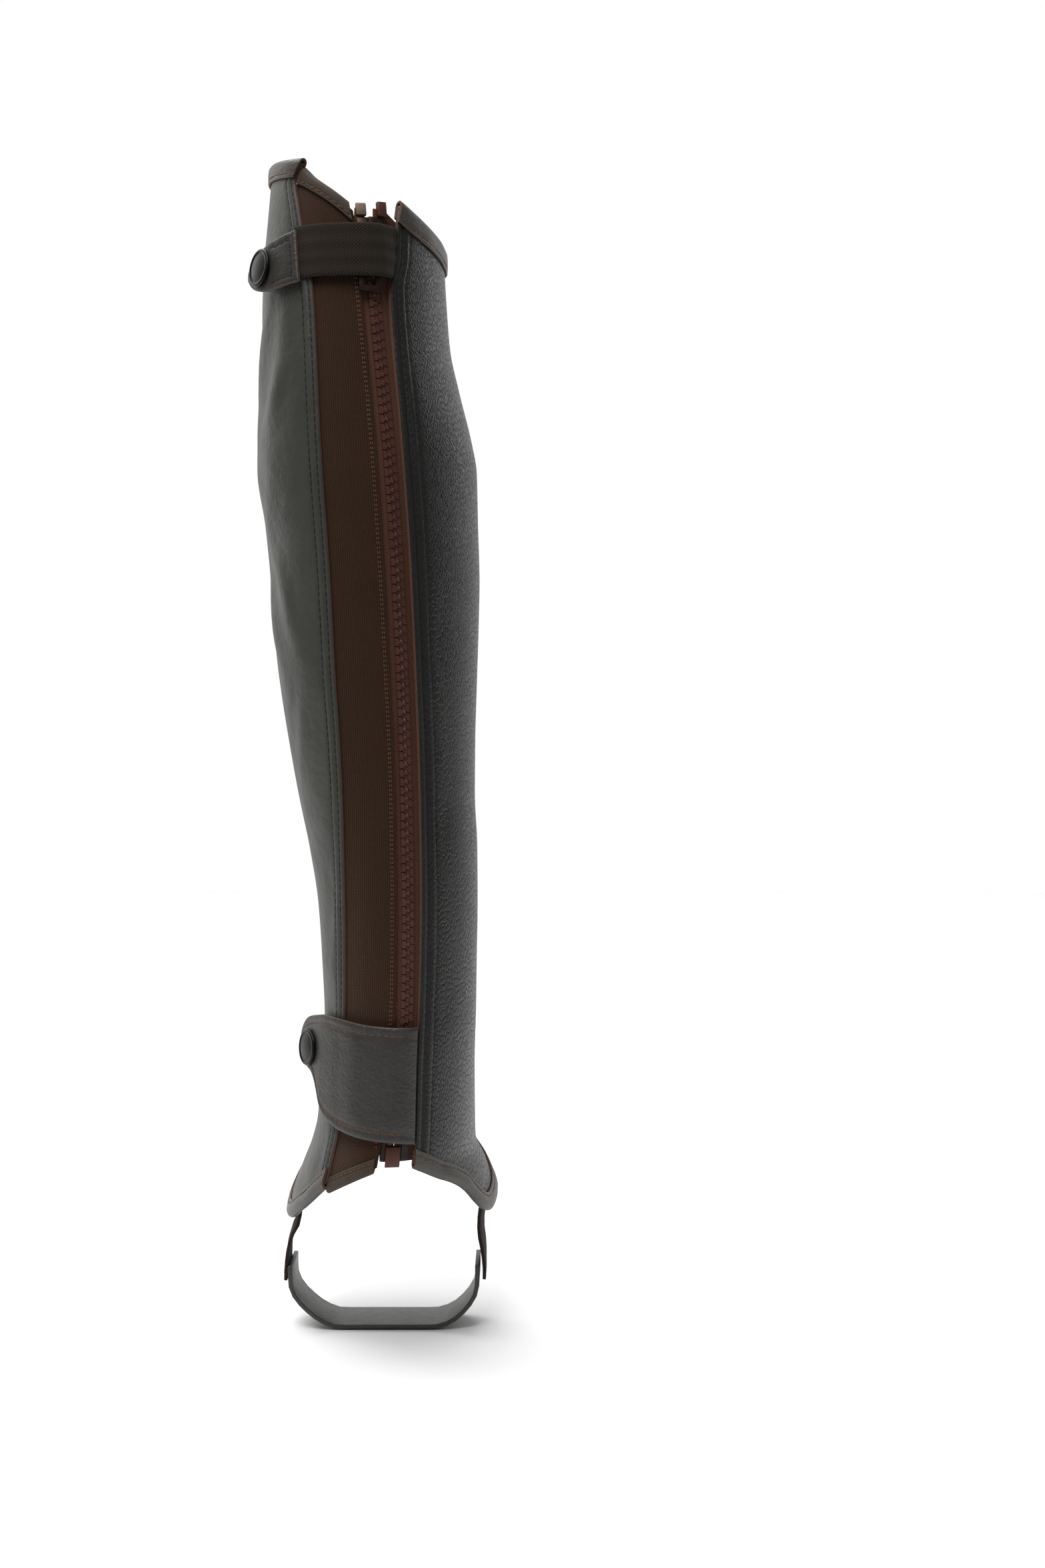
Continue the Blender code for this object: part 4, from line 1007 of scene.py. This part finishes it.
# Half of a tooth's outline, from its body at the tape to the tip of its head
TOOTH_EDGE = (
    (-2.95, 1.68), (-1.25, 1.68), (-1.08, 1.5), (-1.0, 1.15), (-0.8, 0.78), (-0.45, 0.58), (-0.15, 0.66),
    (0.1, 0.92), (0.4, 1.06), (0.75, 0.88), (0.98, 0.48), (1.05, 0.0),
)
TOOTH_OUTLINE = [(x, -y) for x, y in TOOTH_EDGE] + [(x, y) for x, y in reversed(TOOTH_EDGE[:-1])]
TOOTH_DEPTH = 2.8
TOOTH_CHAMFER = 0.3
CHAIN_BACK = (TAPE_FACE + TAPE_BACK - TOOTH_DEPTH) / 2
CHAIN_TOP = 73.4
CHAIN_END = -295.8


def zip_teeth():
    """The zip's closed rows of moulded teeth: each head lies between two bodies of the other row."""
    form = bmesh.new()
    pitch = sizes().tooth / MM
    for place in range(int(2 * (CHAIN_TOP - CHAIN_END) / pitch) - 1):
        side = 1 if place % 2 else -1
        middle = CHAIN_END + (place + 1) * pitch / 2
        corners = [form.verts.new((-side * x, middle + y, TOOTH_CHAMFER)) for x, y in TOOTH_OUTLINE]
        grown = bmesh.ops.extrude_face_region(form, geom=[form.faces.new(corners)], use_keep_orig=True)
        top = [part for part in grown["geom"] if isinstance(part, bmesh.types.BMVert)]
        bmesh.ops.translate(form, verts=top, vec=(0, 0, TOOTH_DEPTH - 2 * TOOTH_CHAMFER))
        face = [part for part in grown["geom"] if isinstance(part, bmesh.types.BMFace)]
        bmesh.ops.inset_region(form, faces=face, thickness=0.22, depth=TOOTH_CHAMFER)
    aside, height, out = coordinates(form).T
    move(form, skin(turn_at(aside, height), height, CHAIN_BACK + out) * MM)
    register_piece(link_form(form, "zip_teeth", [moulded_acetal], 30), "zip_plastic", "zip_chain")


def softened_form(node, width, segments=2, sharp=25, keep_curve=False):
    """A CAD node's form with its edges rounded, for small hard pieces and the foot strap."""
    form = bmesh.new()
    form.from_mesh(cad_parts[node].data)
    bmesh.ops.remove_doubles(form, verts=form.verts[:], dist=1e-5)
    if keep_curve:
        bmesh.ops.join_triangles(form, faces=form.faces[:], angle_face_threshold=math.radians(40),
                                 angle_shape_threshold=math.radians(60))
    else:
        bmesh.ops.dissolve_limit(form, angle_limit=math.radians(4), verts=form.verts[:],
                                 edges=form.edges[:])
    edges = [edge for edge in form.edges if edge.calc_face_angle(0) > math.radians(sharp)]
    bmesh.ops.bevel(form, geom=edges, offset=width * MM, offset_type="OFFSET", affect="EDGES",
                    segments=segments, profile=0.5, material=-1, clamp_overlap=True)
    return form


# Small hard pieces of the zip and the snaps: node, name, rounding in millimetres, finish and slot
ZIP_FITTINGS = (
    ("zip_slider", "cast_slider", 0.35, antique_brass_slider, "zip_metal"),
    ("zip_pull_tab", "cast_pull_tab", 0.4, antique_brass_slider, "zip_metal"),
    ("zip_box", "moulded_box", 0.28, moulded_acetal, "zip_plastic"),
    ("zip_top_stop_lateral", "tan_stop", 0.5, tan_top_stop, "zip_plastic"),
    ("zip_top_stop_medial", "brown_stop", 0.5, moulded_acetal, "zip_plastic"),
    ("film_patch_lateral", "sealed_film_patch_lateral", 0.12, stiffening_film, "film"),
    ("film_patch_medial", "sealed_film_patch_medial", 0.12, stiffening_film, "film"),
)
STUDS = (
    ("top_snap_stud", "turned_top_snap_stud", 0.15, black_nickel, "snap_metal"),
    ("ankle_snap_stud", "turned_ankle_snap_stud", 0.15, black_nickel, "snap_metal"),
)


def hard_pieces(rows):
    for node, name, width, finish, slot_name in rows:
        form = softened_form(node, width, 1 if slot_name == "film" else 2)
        body = "pull_tab" if node == "zip_pull_tab" else "chap"
        register_piece(link_form(form, name, [finish], 35), slot_name, node, body=body)


def zip_fittings():
    """Slider, pull tab, stops, box and film of the zip."""
    hard_pieces(ZIP_FITTINGS)


@dataclass
class Tab:
    """A snapped leather tab, whose outline and rise off the leg are listed along its length."""
    outline: dict
    start: Callable
    shaping: Callable

    def read(self, column, along):
        return read(self.outline, column, along)

    def spot(self, along, up, is_outer):
        low, high = self.read("low", along), self.read("high", along)
        height = between(low, high, up)
        out = self.read("out", along)
        if is_outer:
            from_low, from_high = height - low, high - height
            from_end = np.minimum(along, self.outline["along"][-1] - along)
            out = out + softened(np.minimum(np.minimum(from_low, from_high), from_end), 0.9, 0.4)
            out = out + FLAP_LEATHER + self.shaping(along, from_low, from_high)
        return turn_at(self.start(height) - along, height), height, out

    def place(self, along, up):
        return skin(*self.spot(along, up, True))

    def outward(self, along, up, reach=0.5, rise=0.01):
        """Directions square to the face."""
        beside = self.place(along + reach, up) - self.place(along - reach, up)
        above = self.place(along, up + rise) - self.place(along, up - rise)
        return unit(np.cross(above, beside))

    def run(self, along, up):
        """A row of needle holes on the face, and the outward direction at each."""
        holes = evenly(self.place(along, up), along, up)
        return self.place(*holes), self.outward(*holes)

    def side_run(self, start, end, inset, from_low):
        """A row at an inset from one long side."""
        along = np.linspace(start, end, 200)
        share = inset / (self.read("high", along) - self.read("low", along))
        return self.run(along, share if from_low else 1 - share)


def strap_shaping(along, from_low, from_high):
    rise = furrow(along, TAB_INSET, 0.6, 0.3)
    for aside in (from_low, from_high):
        rise = rise + furrow(aside, TAB_INSET, 0.6, 0.3) * (along > TAB_INSET) * (along < 15)
    return rise


def flap_shaping(along, from_low, from_high):
    swell = -furrow(along, 27, 4.5, 0.5) - furrow(along, 9, 4.0, 0.4)
    swell = swell * np.clip(from_low / 8, 0, 1) * np.clip(from_high / 8, 0, 1)
    return swell + sum(furrow(aside, FLAP_INSET, 0.65, 0.35) for aside in (from_low, from_high))


def sewn_edge(height):
    """Girth where the strap and the flap are sewn, just beside the medial leather."""
    return line_girth("leather", height) - 2 * GAP


STRAP_END_TAB = Tab(STRAP_TAB, lambda height: STRAP_TAB_START + 0 * height, strap_shaping)
ANKLE_FLAP = Tab(FLAP, sewn_edge, flap_shaping)
TAB_ROWS = [0, 0.01, 0.025, *steps(0.05, 0.95, 0.03), 0.975, 0.99, 1]


def snapped_straps():
    """Webbing at the top, its leather tab and the ankle flap."""
    def spot(across, up, is_outer):
        height = between(*STRAP_HEIGHTS, up)
        girth = between(STRAP_END, sewn_edge(height), across)
        out = read(STRAP_LINE, "out", girth)
        if is_outer:
            edge = np.minimum(up, 1 - up) * (STRAP_HEIGHTS[1] - STRAP_HEIGHTS[0])
            out = out + WEBBING + softened(edge, 0.7, 0.35) + 0.12 * np.sin(up * math.pi * 7)
        return turn_at(girth, height), height, out
    sheet_piece(
        "twill_strap", "top_strap_elastic", "strap_webbing", steps(0, 1, 1 / 60), TAB_ROWS, spot,
        [twill_webbing] * 3, flat=(0.043, 0.021), held="stretched", rests_on=["top_strap_tab"],
    )
    for name, node, tab, flat, area in (
        ("strap_tab", "top_strap_tab", STRAP_END_TAB, (0.034, 0.022), 0.0006),
        ("ankle_cover", "ankle_flap", ANKLE_FLAP, (0.072, 0.052), 0.0029),
    ):
        end = tab.outline["along"][-1]
        stations = [0, 0.25, 0.6, 1, *steps(1.5, end - 2, 0.7), end - 1.2, end - 0.7, end - 0.3, end]
        sheet_piece(
            name, node, "smooth_leather", stations, TAB_ROWS, tab.spot,
            (strap_tab_leather, raw_leather_edge, suede_inner_side),
            flat=flat, held="stretched", rests_on=["lateral_leather"], area=area,
        )


def snap_caps():
    """Pressed caps with a rolled rim and a plain, slightly domed middle, and the studs under them."""
    for name, tab, (along, height) in (
        ("top_snap_cap", STRAP_END_TAB, TOP_SNAP), ("ankle_snap_cap", ANKLE_FLAP, ANKLE_SNAP),
    ):
        low, high = tab.read("low", along), tab.read("high", along)
        spot = np.array([along]), np.array([(height - low) / (high - low)])
        outward = Vector(tab.outward(*spot, 2.0, 2 / (high - low))[0])
        form = bmesh.new()
        edge = [form.verts.new((radius, 0, level)) for radius, level in CAP_PROFILE]
        edges = [form.edges.new(pair) for pair in zip(edge, edge[1:])]
        bmesh.ops.spin(form, geom=edge + edges, axis=(0, 0, 1), cent=(0, 0, 0), angle=math.tau,
                       steps=56, use_merge=True)
        bmesh.ops.remove_doubles(form, verts=form.verts[:], dist=0.001)
        bmesh.ops.holes_fill(form, edges=[edge for edge in form.edges if edge.is_boundary])
        centre = Vector(tab.place(*spot)[0]) + outward * 1.5 * GAP
        turn = outward.to_track_quat("Z", "Y").to_matrix().to_4x4()
        place = Matrix.Scale(MM, 4) @ Matrix.Translation(centre) @ turn
        bmesh.ops.transform(form, verts=form.verts[:], matrix=place)
        register_piece(link_form(form, f"pressed_{name}", [black_nickel], 60), "snap_metal", name)
    hard_pieces(STUDS)


FOOT_STRAP_Y = 24.0


def foot_straps():
    """Elastic from each tip of the hem, and the strip under the arch of the sole."""
    for node, name, finish, slot_name, flat in (
        ("foot_elastic_lateral", "webbing_lateral", foot_elastic_webbing, "foot_webbing", (0.022, 0.045)),
        ("foot_elastic_medial", "webbing_medial", foot_elastic_webbing, "foot_webbing", (0.022, 0.049)),
        ("foot_strap_sole", "sole_strip", strap_tab_leather, "binding_leather", (0.027, 0.118)),
    ):
        form = softened_form(node, 0.35, sharp=50, keep_curve=True)
        map_surface(form, coordinates(form)[:, 1:] - (FOOT_STRAP_Y * MM, 0))
        obj = register_piece(link_form(form, name, [finish], 45), slot_name, node)


# Thickness of the flattened thread and its rise off the face, as shares of the round thread's
THREAD_FLATNESS = 0.8
THREAD_RISE = 0.12


def stitches(name, runs, finish, pitch_share=0.46):
    """Rows of thread lying on the leather, each stitch one rounded length between two needle holes.

    A run is the points in millimetres at the needle holes, and the outward directions there. Every
    stitch is the same small sphere, drawn out and turned to its place.
    """
    form = bmesh.new()
    bmesh.ops.create_uvsphere(form, u_segments=6, v_segments=5, radius=1.0)
    sphere = np.array([(vertex.co.z, vertex.co.x, vertex.co.y) for vertex in form.verts])
    faces = [[corner.vert.index for corner in face.loops] for face in form.faces]
    form.free()
    thick = sizes().thread / MM
    starts = np.concatenate([points[:-1] for points, _ in runs])
    ends = np.concatenate([points[1:] for points, _ in runs])
    along = ends - starts
    aside = unit(np.cross(np.concatenate([outward[:-1] for _, outward in runs]), along))
    up = unit(np.cross(along, aside))
    middles = (starts + ends) / 2 + up * thick * THREAD_RISE
    axes = np.stack((along * pitch_share, aside * thick / 2, up * thick / 2 * THREAD_FLATNESS), axis=1)
    points = (np.einsum("vk,nkc->nvc", sphere, axes) + middles[:, None]) * MM
    firsts = range(0, len(starts) * len(sphere), len(sphere))
    corners = [[first + corner for corner in face] for first in firsts for face in faces]
    mesh = bpy.data.meshes.new(name)
    mesh.from_pydata(points.reshape(-1, 3).tolist(), [], corners)
    mesh.materials.append(finish())
    mesh.shade_smooth()
    register_piece(link_object(name, mesh), "smooth_leather")


def run_on_leg(girths, heights, out):
    """A run of needle holes at girths on the leg, and the outward direction at each."""
    turns = turn_at(girths, heights)
    points = skin(turns, heights, out)
    return points, skin(turns, heights, out + 1.0) - points


def stitch_heights(low, high):
    """Whole multiples of the stitch between two heights."""
    pitch = sizes().stitch / MM
    return np.arange(math.ceil(low / pitch), math.floor(high / pitch) + 1) * pitch


FRONT_SPAN = (-290, 97)


def panel_runs(panel, rows, low, high, out):
    """Rows of stitches along the panel's back edge, and one beside the front seam."""
    heights = stitch_heights(low, high)
    for row in rows:
        girths = line_girth(panel.line, heights) + panel.side * row
        turns = turn_at(girths, heights)
        inside = (heights > read(HEM, "height", turns) + 3) & (heights < read(TOP, "height", turns) - 3)
        yield run_on_leg(girths[inside], heights[inside], out)
    heights = stitch_heights(*FRONT_SPAN)
    girths = girth_at(panel.side * FRONT_SEAM, heights) - panel.side * FRONT_ROWS[0]
    yield run_on_leg(girths, heights, -0.2)


OVERLOCK_SPAN, OVERLOCK_PITCH = (-297, 84), 1.9
OVERLOCK_ROWS = (1.5, 2.3)


def elastic_runs():
    """Short overlocking stitches along the elastic's edge beside the zip."""
    heights = np.arange(*OVERLOCK_SPAN, OVERLOCK_PITCH)
    for aside in OVERLOCK_ROWS:
        girths = line_girth("elastic", heights) - aside - 0.35 * (np.arange(len(heights)) % 2)
        yield run_on_leg(girths, heights, ELASTIC_FACE + 0.05)


def binding_runs():
    """One row of stitches along each leather binding and each bound end of the elastic."""
    for *edge, reach in BINDINGS.values():
        turns, heights = binding_spot(*edge, np.linspace(0.012, 0.985, 300), reach - BINDING_ROW)
        turns, heights = evenly(skin(turns, heights, BINDING), turns, heights)
        yield run_on_leg(girth_at(turns, heights), heights, 1.1)
    across = np.linspace(0.07, 0.93, 11)
    for end, way in BANDS.items():
        heights = gusset_edge(end, across, way * (BAND_REACH - BINDING_ROW))
        yield run_on_leg(girth_at(gusset_turn(across, heights), heights), heights, -0.5)


def sewing():
    """Every row of stitches."""
    tab, flap = STRAP_END_TAB, ANKLE_FLAP
    tab_runs = [
        tab.run(np.full(40, TAB_INSET), np.linspace(0.16, 0.84, 40)),
        tab.side_run(TAB_INSET, 15, TAB_INSET, True), tab.side_run(TAB_INSET, 13, TAB_INSET, False),
    ]
    flap_runs = [flap.side_run(2.5, 63, FLAP_INSET, True), flap.side_run(2.5, 64, FLAP_INSET, False)]
    for name, runs, finish in (
        ("thread_lateral", panel_runs(LATERAL, LATERAL_ROWS, -311, 103, -0.3), dark_thread),
        ("thread_medial", panel_runs(MEDIAL, MEDIAL_ROWS, -302, 92, -0.25), dark_thread),
        ("thread_bindings", binding_runs(), brown_thread),
        ("thread_strap_tab", tab_runs, dark_thread),
        ("thread_flap", flap_runs, brown_thread),
    ):
        stitches(name, list(runs), finish)
    stitches("thread_elastic", list(elastic_runs()), brown_thread, 0.33)


def studio_world():
    """A white room: bright behind the piece, where it rims the dark leather, and dim in front of it."""
    world = bpy.data.worlds.new("studio")
    world.use_nodes = True
    depth = add(world, "SeparateXYZ", {0: add(world, "TexCoord", output="Generated")}, "Y")
    behind = add(world, "MapRange", {0: depth, 1: 0.3, 3: 0.2}, interpolation_type="SMOOTHSTEP")
    lighting = add(world, "Background", {"Color": (1, 1, 1, 1), "Strength": behind})
    seen = add(world, "Background", {"Color": (1, 1, 1, 1)})
    to_camera = add(world, "LightPath", output="Is Camera Ray")
    both = add(world, "MixShader", {0: to_camera, 1: lighting, 2: seen})
    connect(world, world.node_tree.nodes["World Output"], {"Surface": both})
    return world


# Where the soft lights stand in metres, their widths and heights, and their watts
LIGHTS = {
    "key_light": ((-0.3, -0.75, 1.15), 0.8, 0.8, 17.0),
    "left_strip_light": ((-0.75, 0.6, 0.2), 0.3, 1.0, 1.6),
    "right_strip_light": ((0.7, 0.6, 0.35), 0.3, 0.7, 0.9),
}
LIT_CENTRE = Vector((0, 0, -0.12))
SUN_FROM = Vector((-0.25, 0.35, 1))
SUN_POWER, SUN_SPREAD = 2.65, 60
FLOOR_HALF, FLOOR_CENTRE_Y, FLOOR_GAP = 1.1, 0.78, 0.0006
CAMERA_PLACE = (0.068, -0.940, -0.095)
CAMERA_DIP = 3.08
LENS, SENSOR = 50, 36


def stage():
    """Floor, lights and the camera, which looks from the back as a standing viewer would."""
    scene = bpy.context.scene
    form = bmesh.new()
    bmesh.ops.create_grid(form, x_segments=1, y_segments=1, size=FLOOR_HALF)
    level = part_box("foot_strap_sole")[0].z - FLOOR_GAP
    bmesh.ops.translate(form, verts=form.verts[:], vec=(0, FLOOR_CENTRE_Y, level))
    link_form(form, "floor", [seamless_paper], 30)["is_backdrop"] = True
    scene.world = studio_world()
    sun = bpy.data.lights.new("overhead_light", "SUN")
    sun.energy, sun.angle = SUN_POWER, math.radians(SUN_SPREAD)
    link_object("overhead_light", sun).rotation_euler = SUN_FROM.to_track_quat("Z", "Y").to_euler()
    for name, (spot, width, height, power) in LIGHTS.items():
        light = bpy.data.lights.new(name, "AREA")
        light.shape, light.size, light.size_y, light.energy = "RECTANGLE", width, height, power
        lamp = link_object(name, light)
        lamp.location = spot
        lamp.rotation_euler = (Vector(spot) - LIT_CENTRE).to_track_quat("Z", "Y").to_euler()
    lens = bpy.data.cameras.new("camera")
    lens.lens, lens.sensor_width = LENS, SENSOR
    scene.camera = link_object("camera", lens)
    scene.camera.location = CAMERA_PLACE
    scene.camera.rotation_euler = (math.radians(90 - CAMERA_DIP), 0, 0)
    scene.view_settings.view_transform = "Standard"


def operator(make):
    """An operator that runs one piece's function, with its words."""
    def execute(self, context):
        make()
        return {"FINISHED"}
    return type(f"HALFCHAP_OT_{make.__name__}", (bpy.types.Operator,), {
        "__doc__": make.__doc__, "bl_idname": f"half_chap.{make.__name__}",
        "bl_label": make.__name__.replace("_", " ").capitalize(), "bl_options": {"REGISTER", "UNDO"},
        "execute": execute,
    })


STEPS = [operator(make) for make in (
    lateral_leather, medial_leather, edge_bindings, elastic_gusset, zip_tapes, zip_teeth, zip_fittings,
    snapped_straps, snap_caps, foot_straps, sewing, stage,
)]


class HALFCHAP_PT_steps(bpy.types.Panel):
    """The half chap's pieces, in the order in which they are made."""
    bl_label = "Half chap"
    bl_idname = "HALFCHAP_PT_steps"
    bl_space_type = "VIEW_3D"
    bl_region_type = "UI"
    bl_category = "Half chap"

    def draw(self, context):
        for step in STEPS:
            self.layout.operator(step.bl_idname)
        for group in (context.scene.half_chap_sizes, context.scene.half_chap_colours):
            for name in group.__annotations__:
                self.layout.prop(group, name)


CLASSES = (HalfChapSizes, HalfChapColours, *STEPS, HALFCHAP_PT_steps)


def register():
    for kind in CLASSES:
        bpy.utils.register_class(kind)
    bpy.types.Scene.half_chap_sizes = PointerProperty(type=HalfChapSizes)
    bpy.types.Scene.half_chap_colours = PointerProperty(type=HalfChapColours)


def unregister():
    del bpy.types.Scene.half_chap_colours
    del bpy.types.Scene.half_chap_sizes
    for kind in reversed(CLASSES):
        bpy.utils.unregister_class(kind)


def main():
    register()
    for step in STEPS:
        getattr(bpy.ops.half_chap, step.bl_idname.split(".")[1])()
    boxes = {"cad": CAD_BOX, "visual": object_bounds()}
    {name: [list(corner) for corner in box] for name, box in boxes.items()}


if __name__ == "__main__":
    main()
